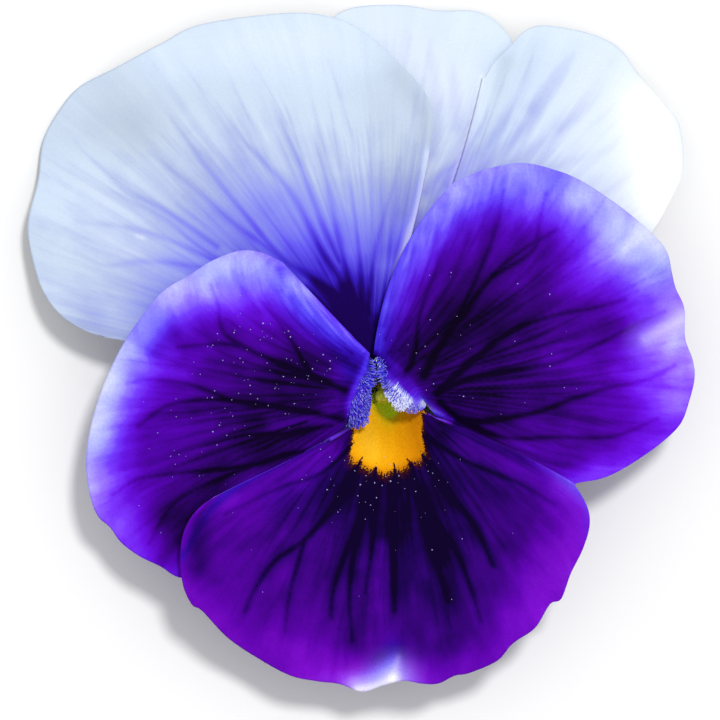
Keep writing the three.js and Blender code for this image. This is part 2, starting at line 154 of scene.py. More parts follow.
@dataclass(frozen=True)
class Dome:
    """The shallow dome that the flower's face follows, as in the solids.

    Each droop is how far out it starts, and how fast the face falls from there.
    """

    centre: Pair = (2.4, -4.5)
    height: float = 11.0
    rises_over: float = 10.0
    round_droop: Pair = (10.0, 0.0028)
    side_droop: Pair = (12.0, 0.006)
    top_droop: Pair = (6.0, 0.007)
    foot_droop: Pair = (10.0, 0.005)

    def at(self, x: Array, y: Array) -> Array:
        """Height of the face over the surface, for the lateral petals.

        Args:
            x: places across the face.
            y: places up the face.

        Returns:
            The height at each place.
        """
        r = np.hypot(x - self.centre[0], y - self.centre[1])
        reaches = ((r, self.round_droop), (abs(x - self.centre[0]), self.side_droop),
                   (y, self.top_droop), (-y, self.foot_droop))
        fall = sum(rate * np.maximum(0, reach - start) ** 2 for reach, (start, rate) in reaches)
        return self.height + ease(r, 0, self.rises_over) - fall


def ray(crest: Array, margin: Array, bow: Array, w: Array) -> Array:
    """Points in plan on rays from a crest to a margin, bowed to their right.

    Args:
        crest: where each ray starts.
        margin: where each ray ends.
        bow: sideways bow of each ray, as a share of its length.
        w: share of each ray.

    Returns:
        One row of three numbers for each ray.
    """
    run = margin - crest
    knee = crest + 0.5 * run
    knee = knee + np.stack([run[..., 1], -run[..., 0], 0 * run[..., 0]], -1) * np.asarray(bow)[..., None]
    w = np.asarray(w)[..., None]
    return crest * (1 - w) ** 2 + 2 * knee * w * (1 - w) + margin * w * w


@dataclass
class Fan:
    """Plan of a plain petal: rays that fan out from its crest to its margin."""

    crest: Points
    margin: Points
    bow: Sequence[float]

    def __post_init__(self) -> None:
        """Makes the curves once."""
        self.foot, self.outline, self.bow_at = Rail(self.crest), Rail(self.margin), dial(self.bow)

    def place(self, u: Array, w: Array) -> tuple[Array, Array, Array]:
        """Plan of the petal.

        Args:
            u: places across it.
            w: places along its limb.

        Returns:
            x, y, and how far a pleat lifts the blade, which is nowhere here.
        """
        foot = self.foot.at(u) * (1, 1, 0)
        at = ray(foot, self.outline.along(u), self.bow_at(u), w)
        return at[..., 0], at[..., 1], 0 * at[..., 0]


@dataclass
class PleatedFan:
    """Plan of the upper right petal: a left part, the pleat, and the lobe folded over it."""

    fold_foot: Sequence[float]
    fold_bow: float
    left_crest: Sequence[float]
    left_margin: Points
    right_crest: Sequence[float]
    right_margin: Points
    bow: Sequence[float]
    left_share: float = 16 / 56
    right_share: float = 28 / 56
    turn_radius: float = 0.17
    flat: float = 3.4
    flat_least: float = 0.6
    turns: Pair = (0.38, 0.72)
    flat_from: float = 0.55
    fades_by: float = 0.75
    near: float = 1e-3

    def __post_init__(self) -> None:
        """Makes the curves once."""
        self.outline = Rail(self.right_margin)
        self.right_foot = Rail([self.fold_foot, self.right_crest])
        self.bow_at = dial(self.bow)
        start = self.start(np.array([0.0, 1.0]))
        self.left_foot = Rail([self.left_crest, start[0]])
        self.left_outline = Rail([*self.left_margin, start[1]])

    def line(self, t: Array) -> Array:
        """Points on the fold's line.

        Args:
            t: shares of the way from foot to margin.

        Returns:
            One row of three numbers for each share.
        """
        t = np.asarray(t, float)
        foot = np.array([*self.fold_foot, 0.0]) + np.zeros(t.shape + (3,))
        end = np.array([*self.right_margin[0], 0.0]) + np.zeros(t.shape + (3,))
        return ray(foot, end, np.full(t.shape, self.fold_bow), t)

    def across(self, w: Array) -> Array:
        """The direction across the fold.

        Args:
            w: places along the limb.

        Returns:
            A unit vector for each place.
        """
        run = self.line(np.minimum(1, w + self.near)) - self.line(np.maximum(0, w - self.near))
        run /= np.linalg.norm(run, axis=-1, keepdims=True)
        return np.stack([run[..., 1], -run[..., 0], 0 * run[..., 0]], -1)

    def pleat(self, w: Array, q: Array) -> tuple[Array, Array]:
        """Path across the pleat.

        Args:
            w: share of the petal's length.
            q: share of the path.

        Returns:
            How far the path has gone across, and how high it has risen.
        """
        r = self.turn_radius
        opened = ease(w, *self.turns)
        turn = math.pi * opened
        share = np.maximum(opened / 3, 1e-6)
        layer = mix(self.flat_least, self.flat, ease(w, self.flat_from, 1))
        first = turn * np.clip(q / share, 0, 1)
        middle = layer * np.clip((q - share) / (1 - 2 * share), 0, 1)
        last = turn * (1 - np.clip((q - 1 + share) / share, 0, 1))
        advance = r * np.sin(first) + middle * np.cos(turn) + r * (np.sin(turn) - np.sin(last))
        rise = r * (1 - np.cos(first)) + middle * np.sin(turn) + r * (np.cos(last) - np.cos(turn))
        return advance, rise

    def start(self, w: Array) -> Array:
        """Returns where the path across the pleat starts, at w."""
        w = np.asarray(w, float)
        return self.line(w) - self.across(w) * self.pleat(w, np.ones_like(w))[0][..., None]

    def place(self, u: Array, w: Array) -> tuple[Array, Array, Array]:
        """Plan of the petal.

        Args:
            u: places across it.
            w: places along its limb.

        Returns:
            x, y, and how far the pleat lifts the blade.
        """
        s = np.clip(u / self.left_share, 0, 1)
        ones = np.ones_like(u)
        flat = ray(self.left_foot.at(s), self.left_outline.along(s), 0 * u, w)
        last = ray(self.left_foot.at(ones), self.left_outline.along(ones), 0 * u, w)
        left = flat + (self.start(w) - last) * (s * s)[..., None]
        q = np.clip((u - self.left_share) / (self.right_share - self.left_share), 0, 1)
        advance, rise = self.pleat(w, q)
        fold = self.start(w) + self.across(w) * advance[..., None]
        t = np.clip((u - self.right_share) / (1 - self.right_share), 0, 1)
        right = ray(self.right_foot.at(t), self.outline.along(t), self.bow_at(t), w)
        carried = self.pleat(w, ones)[1] * ease(t, self.fades_by, 0)
        on_left, on_fold = u <= self.left_share, u < self.right_share
        at = np.where(on_left[..., None], left, np.where(on_fold[..., None], fold, right))
        lifted = np.where(on_left, 0, np.where(on_fold, rise, carried))
        return at[..., 0], at[..., 1], lifted


# ---- meshes -------------------------------------------------------------------------------


def lay_grid(name: str, columns: int, rows: int) -> tuple[bpy.types.Object, Array, Array]:
    """Adds a flat grid, whose vertices are then laid on a surface.

    Args:
        name: the piece's name.
        columns: cells across.
        rows: cells along.

    Returns:
        The piece, and the place of each vertex across and along, from 0 to 1.
    """
    bpy.ops.object.select_all(action="DESELECT")
    bpy.ops.mesh.primitive_grid_add(x_subdivisions=columns, y_subdivisions=rows, size=1)
    piece = bpy.context.object
    piece.name = piece.data.name = name
    flat = np.empty(len(piece.data.vertices) * 3)
    piece.data.vertices.foreach_get("co", flat)
    u, v = (flat.reshape(-1, 3)[:, :2] + 0.5).T
    return piece, u, v


def put(piece: bpy.types.Object, points: Array) -> None:
    """Moves a piece's vertices to points given in millimetres."""
    piece.data.vertices.foreach_set("co", (np.asarray(points) * MM).ravel())
    piece.data.update()


def note(piece: bpy.types.Object, name: str, values: Array) -> None:
    """Writes a number for each vertex, which a material reads by its name."""
    attribute = piece.data.attributes.new(name, "FLOAT", "POINT")
    attribute.data.foreach_set("value", np.asarray(values, np.float32))


def close_up(piece: bpy.types.Object, nearer_than: float = 0.002) -> None:
    """Welds the seam and the poles of a rolled-up grid, and turns its faces outwards.

    Args:
        piece: the grid.
        nearer_than: how near two vertices are welded, in millimetres.
    """
    bpy.context.view_layer.objects.active = piece
    bpy.ops.object.mode_set(mode="EDIT")
    bpy.ops.mesh.select_all(action="SELECT")
    bpy.ops.mesh.remove_doubles(threshold=nearer_than * MM)
    bpy.ops.mesh.normals_make_consistent(inside=False)
    bpy.ops.object.mode_set(mode="OBJECT")


def thicken(piece: bpy.types.Object, thickness: float, offset: float = 0.0,
            shares: Array | None = None) -> None:
    """Gives a sheet its thickness. A second material goes on its back.

    Args:
        piece: the sheet.
        thickness: in millimetres.
        offset: 0 for both sides alike, -1 for inwards.
        shares: share of the thickness at each vertex.
    """
    bpy.context.view_layer.objects.active = piece
    shell = piece.modifiers.new("blade", "SOLIDIFY")
    shell.thickness = thickness * MM
    shell.offset = offset
    shell.material_offset = len(piece.data.materials) - 1
    if shares is not None:
        group = piece.vertex_groups.new(name="thickness")
        for i, share in enumerate(shares):
            group.add([i], float(share), "REPLACE")
        shell.vertex_group = group.name
    bpy.ops.object.modifier_apply(modifier=shell.name)


def join(pieces: Sequence[bpy.types.Object], material: bpy.types.Material) -> bpy.types.Object:
    """Joins pieces into the first of them.

    Args:
        pieces: the pieces.
        material: what all of them are made of.

    Returns:
        The first piece, which now holds them all.
    """
    bpy.ops.object.select_all(action="DESELECT")
    for piece in pieces:
        piece.select_set(True)
    bpy.context.view_layer.objects.active = pieces[0]
    bpy.ops.object.join()
    pieces[0].data.materials.clear()
    pieces[0].data.materials.append(material)
    return pieces[0]


def settle(piece: bpy.types.Object, nodes: Sequence[str] = ()) -> bpy.types.Object:
    """Smooths a finished piece and ties it to the frame.

    Args:
        piece: the piece.
        nodes: CAD nodes that it stands for.

    Returns:
        The piece.
    """
    piece.select_set(True)
    bpy.context.view_layer.objects.active = piece
    bpy.ops.object.shade_smooth()
    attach(piece, BODY)
    if nodes:
        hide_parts(*nodes)
    LOG.info("%s: %d faces", piece.name, len(piece.data.polygons))
    return piece


@dataclass(frozen=True)
class Tube:
    """A round form along a path in a plane of equal x, with a radius at each distance."""

    path: Points
    profile: Points
    ridges: int = 0
    ridge_share: float = 0.0
    near: float = 0.01

    def place(self, u: Array, v: Array) -> Array:
        """Points on the tube.

        Args:
            u: places around it.
            v: places along it.

        Returns:
            One row of three numbers for each place.
        """
        profile, path = Rail(self.profile), Rail(self.path)
        outline = profile.along(v)
        share, radius = outline[..., 0] / path.travelled[-1], outline[..., 1]
        step = (path.along(np.clip(share + self.near, 0, 1))
                - path.along(np.clip(share - self.near, 0, 1)))
        ahead = step / np.linalg.norm(step, axis=-1, keepdims=True)
        overshoot = (share - np.clip(share, 0, 1)) * path.travelled[-1]
        centre = path.along(np.clip(share, 0, 1)) + ahead * overshoot[..., None]
        side = np.array([1.0, 0, 0]) - ahead * ahead[..., :1]
        side /= np.linalg.norm(side, axis=-1, keepdims=True)
        turn = TURN * u
        radius = radius * (1 - 0.5 * self.ridge_share * (1 - np.cos(self.ridges * turn)))
        return (centre + side * (radius * np.cos(turn))[..., None]
                + np.cross(ahead, side) * (radius * np.sin(turn))[..., None])

    def build(self, name: str, sides: int, rings: int) -> bpy.types.Object:
        """Makes the tube's mesh, with its length noted as "along".

        Args:
            name: the piece's name.
            sides: faces around it.
            rings: faces along it.

        Returns:
            The piece.
        """
        piece, u, v = lay_grid(name, sides, rings)
        put(piece, self.place(u, v))
        note(piece, "along", v)
        close_up(piece)
        return piece


# ---- colour and nodes ---------------------------------------------------------------------


def linear(colour: str) -> tuple[float, float, float, float]:
    """Turns an sRGB hex colour to the linear values that Blender's sockets hold.

    Args:
        colour: six hex digits.

    Returns:
        Linear red, green and blue, and an alpha of 1.
    """
    parts = [int(colour[i:i + 2], 16) / 255 for i in (0, 2, 4)]
    red, green, blue = (p / 12.92 if p <= 0.04045 else ((p + 0.055) / 1.055) ** 2.4 for p in parts)
    return red, green, blue, 1.0


# A Mix node's numbers for its factor, its two colours and the colour that comes out.
FACTOR, UNDER, OVER, MIXED = 0, 6, 7, 2
COLOURS = {"data_type": "RGBA"}


def add(tree: bpy.types.NodeTree, kind: str, settings: dict | None = None,
        links: dict | None = None) -> bpy.types.Node:
    """Adds a node to a material.

    Args:
        tree: the material's nodes.
        kind: the node's type, without the words that all the shader nodes start with.
        settings: node properties by name, input values by socket name or number, and a colour
            ramp's places and colours as "stops".
        links: output sockets by the socket name or number of the input that they feed.

    Returns:
        The node.
    """
    node = tree.nodes.new(f"ShaderNode{kind}")
    for key, value in (settings or {}).items():
        if key == "stops":
            elements = node.color_ramp.elements
            while len(elements) < len(value):
                elements.new(1.0)
            for element, (place, colour) in zip(elements, value):
                element.position = place
                element.color = linear(colour)
        elif isinstance(key, str) and hasattr(node, key):
            setattr(node, key, value)
        else:
            node.inputs[key].default_value = value
    for key, output in (links or {}).items():
        tree.links.new(output, node.inputs[key])
    return node


# ---- brush strokes ------------------------------------------------------------------------


@dataclass(frozen=True)
class Stroke:
    """A soft stroke over the face, such as a vein or a patch of colour."""

    path: Points
    widths: Pair
    strengths: Pair = (1.0, 1.0)
    step: float = 0.3
    core: float = 0.75
    halo: float = 2.6

    def cover(self, x: Array, y: Array) -> Array:
        """How strongly the stroke covers each place.

        Args:
            x: places across the face.
            y: places up the face.

        Returns:
            The stroke's strength at each place, fading from its middle line.
        """
        rail = Rail(self.path)
        s = np.linspace(0, 1, max(6, int(rail.travelled[-1] / self.step)))
        line = rail.along(s)
        half, strength = mix(*self.widths, s), mix(*self.strengths, s)
        reach = 2 * self.halo * half.max()
        near = ((x > line[:, 0].min() - reach) & (x < line[:, 0].max() + reach)
                & (y > line[:, 1].min() - reach) & (y < line[:, 1].max() + reach))
        cover = np.zeros_like(x)
        away = (x[near][:, None] - line[:, 0]) ** 2 + (y[near][:, None] - line[:, 1]) ** 2
        laid = strength * (self.core * np.exp(-away / half ** 2)
                           + (1 - self.core) * np.exp(-away / (self.halo * half) ** 2))
        cover[near] = np.take_along_axis(laid, abs(laid).argmax(1)[:, None], 1)[:, 0]
        return cover


def lines(paths: Sequence[Points], widths: Pair, strengths: Pair) -> list[Stroke]:
    """Returns a stroke for each path, all alike."""
    return [Stroke(path, widths, strengths) for path in paths]


def strongest(strokes: Sequence[Stroke], x: Array, y: Array) -> Array:
    """Returns the strongest cover of any of the strokes at each place."""
    return np.max([np.zeros_like(x), *(stroke.cover(x, y) for stroke in strokes)], axis=0)


def summed(strokes: Sequence[Stroke], x: Array, y: Array) -> Array:
    """Returns the sum of the strokes' covers at each place."""
    return sum((stroke.cover(x, y) for stroke in strokes), np.zeros_like(x))


def inside(outline: Points, x: Array, y: Array) -> Array:
    """Distance inside a closed outline.

    Args:
        outline: its corners, rounded off between them.
        x: places across the face.
        y: places up the face.

    Returns:
        Millimetres from the outline, negative outside it.
    """
    line = Rail([*outline, outline[0]]).along(np.linspace(0, 1, 121))[:, :2]
    at = np.stack([x, y], -1)[:, None]
    start, run = line[:-1], np.diff(line, axis=0)
    share = np.clip(((at - start) * run).sum(-1) / (run ** 2).sum(-1), 0, 1)
    gap = np.hypot(*np.moveaxis(at - start - share[..., None] * run, -1, 0)).min(1)
    above = (start[:, 1] > y[:, None]) != (line[1:, 1] > y[:, None])
    rise = np.where(abs(run[:, 1]) < 1e-9, 1e-9, run[:, 1])
    crossing = start[:, 0] + (y[:, None] - start[:, 1]) / rise * run[:, 0] > x[:, None]
    return np.where((above & crossing).sum(1) % 2 == 1, gap, -gap)


@dataclass(frozen=True)
class Paint:
    """Where a petal carries its colours. Depth runs from 0, palest, to 1, darkest.

    tint turns the violet from blue to red. The strokes that lighten or darken the colour are painted
    light and painted shade: highlights on rolled and turned edges, and shade in valleys, beside folds
    and along rolled margins, with a few patches of the petal's own colour among them. An eye reaches
    eye_reach inside and outside its outline, and its edge frays only down the face, from the first
    y of fraying to the second.
    """

    depth: Callable[[Array, Array, Array, Array], Array]
    veins: Sequence[Stroke]
    fine: int
    fine_reach: Pair
    fine_strength: float
    seed: int
    fine_widths: Pair = (0.2, 0.14)
    fine_fade: float = 0.35
    fine_jitter: float = 0.35
    fine_starts: Pair = (0.02, 0.2)
    fine_swings: Pair = (0.004, 0.012)
    fine_phases: Pair = (0.0, 6.28)
    fine_swing_rate: float = 5.0
    fine_uneven: Pair = (0.6, 1.0)
    fine_points: int = 12
    forked: float = 0.6
    fork_places: Pair = (0.35, 0.6)
    fork_spread: float = 0.35
    tint: Sequence[Stroke] = ()
    tint_all_over: float = 0.5
    # Painted light and painted shade strokes, among them a few patches of the petal's own colour, and
    # painted light laid over the whole petal.
    painted_light_shade_and_patches: Sequence[Stroke] = ()
    painted_light_all_over: float = 0.0
    deeper: Sequence[Stroke] = ()
    bends: Pair = (0.0, 0.0)
    eye: Points = ()
    eye_reach: float = 3.0
    cuts: Sequence[Stroke] = ()
    cut_depth: float = 2.6
    clean_edge: float = 2.6
    fraying: Pair = (-10.6, -12.0)
    throat: Sequence[Stroke] = ()
    yolk: Sequence[Stroke] = ()

    def bend(self, u: Array, w: Array) -> Array:
        """How far the streaks and small veins turn from the petal's rays towards its sides.

        Args:
            u: places across the petal.
            w: places along its limb.

        Returns:
            The turn, as a share of the petal's width.
        """
        first, last = self.bends
        return w * w * (first * ease(u, 0.55, 0.15) - last * ease(u, 0.55, 0.9))

    def fine_veins(self, petal: "Petal") -> list[Stroke]:
        """Draws the small veins that run out between the main ones, some of them forked.

        Args:
            petal: the petal.

        Returns:
            A stroke for each vein, or one for each arm of a fork.
        """
        draw = random.Random(self.seed)
        strokes = []
        for i in range(self.fine):
            u = (i + 0.5 + draw.uniform(-self.fine_jitter, self.fine_jitter)) / self.fine
            first, last = draw.uniform(*self.fine_starts), draw.uniform(*self.fine_reach)
            swing, phase = draw.uniform(*self.fine_swings), draw.uniform(*self.fine_phases)
            fork = mix(first, last, draw.uniform(*self.fork_places))
            strength = self.fine_strength * draw.uniform(*self.fine_uneven)
            for side in (-1, 1) if draw.random() < self.forked else (0,):
                w = np.linspace(first, last, self.fine_points)
                spread = side * self.fork_spread / self.fine * ease(w, fork, last)
                sway = swing * np.sin(self.fine_swing_rate * w + phase)
                across = u + sway + spread - self.bend(u + 0 * w, w)
                points = petal.limb(np.clip(across, 0.002, 0.998), w)[:, :2]
                strokes.append(Stroke(points.tolist(), self.fine_widths,
                                      (strength, self.fine_fade * strength)))
        return strokes

    def lay(self, petal: "Petal", piece: bpy.types.Object, u: Array, v: Array) -> Array:
        """Lays the colours down as attributes of the petal's mesh.

        Args:
            petal: the petal.
            piece: its mesh, still one sheet.
            u: place of each vertex across the petal.
            v: place of each vertex from foot to margin.

        Returns:
            Strength of the veins at each vertex.
        """
        x, y, _ = petal.surface(u, v).T
        w = limb_share(v)
        on_limb = v >= CLAW_SHARE - 1e-6
        veins = strongest([*self.veins, *self.fine_veins(petal)], x, y) * on_limb
        # Painted light lightens the colour towards white, and painted shade darkens it towards near-black.
        painted_light_shade_and_patches = self.painted_light_all_over + summed(self.painted_light_shade_and_patches, x, y)
        layers = {
            "depth": self.depth(u, w, x, y) + summed(self.deeper, x, y),
            "veins": veins,
            "tint": self.tint_all_over + summed(self.tint, x, y),
            "fan": u + self.bend(u, w),
            "light": np.maximum(painted_light_shade_and_patches, 0),
            "shade": np.maximum(-painted_light_shade_and_patches, 0),
        }
        if self.eye:
            most = self.eye_reach
            reach = np.where(on_limb, np.clip(inside(self.eye, x, y), -most, most), most)
            # The eye frays only towards the margin, and its sides are clean.
            reach = reach * mix(self.clean_edge, 1.0, ease(y, *self.fraying))
            layers["eye"] = reach - self.cut_depth * strongest(self.cuts, x, y) * on_limb
            layers["throat"] = np.clip(summed(self.throat, x, y), 0, 1)
            layers["yolk"] = 0.5 + summed(self.yolk, x, y)
        for name, values in layers.items():
            note(piece, name, values)
        return veins


def rimmed(edges: Sequence[float], rims: Sequence[float], body: float) -> Callable[[Array, Array], Array]:
    """Makes a depth that lightens to the margin.

    Args:
        edges: depth at the margin, at even steps across the petal.
        rims: share of the petal's length over which it lightens, at even steps.
        body: depth inside.

    Returns:
        A function of the place across and along.
    """
    edge, rim = dial(edges), dial(rims)
    return lambda u, w: mix(edge(u), body, smooth((1 - w) / np.maximum(rim(u), 0.02)))


# The lists run across a petal in the order of its margin's points. That of the upper light runs
# out along the limb, and that of the white runs from left to right round the petal's foot.
LEFT_RIM = rimmed(
    [0.36, 0.24, 0.2, 0.24, 0.1, 0.07, 0.17, 0.32, 0.42, 0.62, 0.64],
    [0.55, 0.46, 0.4, 0.3, 0.28, 0.26, 0.25, 0.26, 0.2, 0.12, 0.1], 0.7)
LEFT_HEART = dial([0.04, 0.06, 0.12, 0.14, 0.22, 0.22, 0.22, 0.22, 0.13, 0.04, 0.04])
RIGHT_RIM = rimmed(
    [0.32, 0.31, 0.32, 0.18, 0.06, 0.28, 0.21, 0.34, 0.42, 0.43, 0.51],
    [0.55, 0.42, 0.36, 0.34, 0.48, 0.28, 0.34, 0.26, 0.22, 0.24, 0.2], 0.72)
RIGHT_UPPER_LIGHT = dial([0.36, 0.34, 0.4, 0.32, 0.38, 0.42, 0.36, 0.2, 0.08, 0.04, 0.04])
LOWER_RIM = rimmed(
    [0.56, 0.66, 0.64, 0.64, 0.5, 0.3, 0.62, 0.63, 0.54, 0.54, 0.36],
    [0.05, 0.1, 0.2, 0.26, 0.24, 0.12, 0.13, 0.22, 0.34, 0.34, 0.42], 0.75)
WHITE_REACH = dial([16, 15.9, 15.4, 14.2, 12.0, 10.2, 11.4, 13.6, 14.4])


# A depth function is called with the places across and along the limb, and x and y.


def upper_left_depth(u: Array, w: Array, x: Array, y: Array) -> Array:
    """Returns the depth of the upper left petal's violet, which runs furthest up to the left."""
    bearing = np.arctan2(y - 0.7, 0.5 - x)
    return fade(np.hypot(x - 0.5, y - 0.7), WHITE_REACH(bearing / 2.4), 2.9)


def upper_right_depth(u: Array, w: Array, x: Array, y: Array) -> Array:
    """Returns the depth of the upper right petal's violet, which fades out from its foot."""
    return fade(np.hypot(x - 2.9, y + 0.5), 13.8, 2.9)


def left_depth(u: Array, w: Array, x: Array, y: Array) -> Array:
    """Depth of the left lateral petal's violet, pale at the margin and the crest.

    Args:
        u: places across the petal.
        w: places along its limb.
        x: places across the face, not used.
        y: places up the face, not used.

    Returns:
        The depth at each place.
    """
    heart = LEFT_HEART(u) * ease(w, 0.9, 0.3)
    # Painted highlight: a paler strip along the turned upper edge, where it faces the light.
    upper_light = 0.4 * bell(u, 0.05, 0.1) * ease(w, 0, 0.3) * ease(w, 0.95, 0.6)
    shoulder = 0.18 * bell(u, 0.2, 0.07) * bell(w, 0.73, 0.16)
    return mix(LEFT_RIM(u, w) + heart - upper_light - shoulder, 0.56, bell(w, 0, 0.02))


def right_depth(u: Array, w: Array, x: Array, y: Array) -> Array:
    """Depth of the right lateral petal's violet, pale at the margin and the crest.

    Args:
        u: places across the petal.
        w: places along its limb.
        x: places across the face, not used.
        y: places up the face, not used.

    Returns:
        The depth at each place.
    """
    heart = 0.15 * ease(w, 0.9, 0.3)
    upper_light = RIGHT_UPPER_LIGHT(w) * bell(u, 0.0, 0.15)
    return mix(RIGHT_RIM(u, w) + heart - upper_light, 0.62, bell(w, 0, 0.018))


def lower_depth(u: Array, w: Array, x: Array, y: Array) -> Array:
    """Depth of the lower petal's violet, darkest below the eye, with painted highlights along its rolled
    side edges.

    Args:
        u: places across the petal.
        w: places along its limb.
        x: places across the face.
        y: places up the face.

    Returns:
        The depth at each place.
    """
    heart = 0.2 * fade(np.hypot(0.85 * (x - 4.2), y + 15), 10, 3) - 0.1 * bell(u, 0.05, 0.12)
    # Painted highlight: paler lines along both side edges, where the rolled edges catch the light.
    edge = 0.32 * bell(u, 0, 0.006) + 0.5 * bell(u, 1, 0.01) * ease(w, 0.2, 0.1)
    return LOWER_RIM(u, w) + heart - edge * ease(w, 0, 0.02)


UPPER_LEFT_PAINT = Paint(
    depth=upper_left_depth, fine=34, fine_reach=(0.5, 0.95), fine_strength=0.4, seed=11,
    veins=lines((
        ((-1.1, 3), (-3.4, 5.9), (-8.3, 9.4), (-12, 13.9), (-15.6, 18.3), (-18.8, 22.6),
         (-21.8, 26.1)),
        ((-0.8, 2.6), (-1.9, 6.7), (-4.2, 10.3), (-6.5, 14.9), (-8.8, 18), (-12, 21.3),
         (-14.3, 24.4), (-16, 26.9)),
        ((-0.5, 3.3), (-1.6, 8.5), (-2.6, 13.1), (-3.6, 17.6), (-4.4, 20.6), (-4.8, 23.3)),
    ), (0.55, 0.2), (1.0, 0.1)) + lines((
        ((0.2, 3.8), (0, 8), (-0.4, 12.8), (-0.8, 16.4), (-1.1, 19.6)),
        ((0.8, 3.6), (1.3, 8), (2.1, 12.2), (3.4, 16.4), (4.2, 19.6)),
        ((-2.1, 8.9), (-4.4, 13.8), (-6.3, 19.1), (-7.9, 22.7), (-9.2, 25.9)),
        ((-8.3, 9.4), (-13.4, 13.1), (-17.8, 17), (-22.1, 20.4)),
        ((-8.4, 5.9), (-12.6, 8.2), (-15.2, 9.3), (-17.6, 11), (-19.9, 13.1), (-23.1, 14.9),
         (-26.2, 16.4)),
        ((-13, 8), (-19.7, 11), (-22.9, 12.1), (-26.6, 12.8), (-30.2, 13.1)),
        ((-15, 10.5), (-20.7, 14.4), (-24.3, 16.2), (-27.5, 19), (-30.2, 21.7)),
        ((-12, 6.5), (-16.8, 8.2), (-22.1, 8.9), (-26.6, 8.5), (-29.8, 9.8)),
    ), (0.4, 0.2), (0.7, 0.1)),
    # Painted shade in the valley, across the top and along the rolled right margin. Painted light on the
    # left, along the top edge and on the rolled right edge, and a small highlight spot.
    painted_light_shade_and_patches=(
        Stroke(((-24, 22.5), (-31, 24)), (3, 3.5), (-0.16, -0.06)),
        Stroke(((-25, 26), (-12, 26), (0, 22)), (4.6, 4.6), (-0.08, -0.06)),
        Stroke(((-28, 18), (-24, 10)), (3.4, 3.4), (0.06, 0.06)),
        Stroke(((-4, 32), (-20, 31)), (2.5, 2.5), (0.14, 0.12)),
        Stroke(((4.2, 28.6), (6.9, 24), (6.4, 18.4), (5, 14)), (1.5, 1.1), (-0.16, -0.2)),
        Stroke(((1, 27), (3.5, 21), (2.8, 13), (1.5, 8)), (2.2, 1.4), (-0.07, -0.1)),
        Stroke(((7.3, 20), (6.6, 16.5), (5.6, 12.8), (4.0, 7.6)), (0.6, 0.35), (0.4, 0.55)),
        Stroke(((-23.5, 11.6), (-22.7, 11.35)), (0.12, 0.12), (0.35, 0.3)),
    ),
    deeper=(
        Stroke(((-6, 7), (-10, 10.5)), (0.9, 1.2), (-0.2, -0.1)),
        Stroke(((1.8, 4.2), (2.7, 8.2)), (1.1, 1.4), (-0.2, -0.24)),
        Stroke(((-2.4, 7.2), (-2.2, 9.4)), (1.1, 1.3), (-0.16, -0.1)),
        Stroke(((-10, 15), (-15, 21)), (1.6, 2.5), (0.05, 0.03)),
        # Painted shade: darker where the left lateral petal shades this petal's lower margin.
        Stroke(((-28, 3.5), (-34, 8)), (1.5, 2), (0.08, 0.06)),
        Stroke(((-15, 4), (-22, 5)), (1.6, 2.2), (0.1, 0.06)),
    ),
)

UPPER_RIGHT_PAINT = Paint(
    depth=upper_right_depth, fine=34, fine_reach=(0.6, 0.98), fine_strength=0.3, seed=12,
    # Painted light lightens the whole petal.
    painted_light_all_over=0.1,
    veins=lines((
        ((6.9, 16.2), (8.4, 18), (10.6, 19.5), (11.3, 22.2), (12.4, 26.7)),
        ((9.3, 17), (11, 20.2), (12.6, 22.9)),
    ), (0.55, 0.3), (0.6, 0.2)) + lines((
        ((10.6, 18), (13.6, 21.6), (16.6, 26), (18.4, 30)),
        ((12, 17.6), (16, 21.8), (20.4, 26.6), (22.6, 30.3)),
        ((13, 17), (18, 20.6), (24, 25), (27, 28)),
        ((14, 16.4), (20, 18.6), (27, 21)),
        ((7.6, 20.2), (8.2, 26.3), (6.9, 34)),
        ((10.2, 23), (9.8, 28.3), (8.9, 33.1)),
    ), (0.75, 0.6), (0.32, 0.12)),
    # Painted light: the far right of the lobe lit to white, the top lightened, and a thin line along the
    # fold that lightens the fold's shadow. Painted shade on the lobe beside the fold.
    painted_light_shade_and_patches=(
        Stroke(((30, 25), (32, 15)), (2.6, 3.2), (0.8, 0.8)),
        Stroke(((2, 33), (9, 27)), (3, 3), (0.1, 0.15)),
        Stroke(((12.9, 28.4), (12.0, 25), (11.1, 21.6), (9.5, 17)), (0.17, 0.17), (0.4, 0.3)),
        Stroke(((15.2, 30), (14.0, 25.6), (12.2, 20.5)), (1.2, 0.9), (-0.22, -0.1)),
        Stroke(((18.5, 31), (17, 25.5), (15, 21.5)), (2.4, 2.0), (-0.13, -0.1)),
    ),
    deeper=(
        Stroke(((11.4, 22), (9.7, 17)), (0.25, 0.4), (0.0, 0.12)),
        # Painted light: lighter where the upper left petal shades this one.
        Stroke(((8.4, 23), (7.4, 18.5), (6.4, 15)), (1.8, 0.9), (-0.1, -0.2)),
        Stroke(((18, 25), (23, 32)), (0.7, 0.8), (0.1, 0.05)),
        Stroke(((21, 23), (27, 29)), (0.7, 0.8), (0.07, 0.04)),
    ),
)

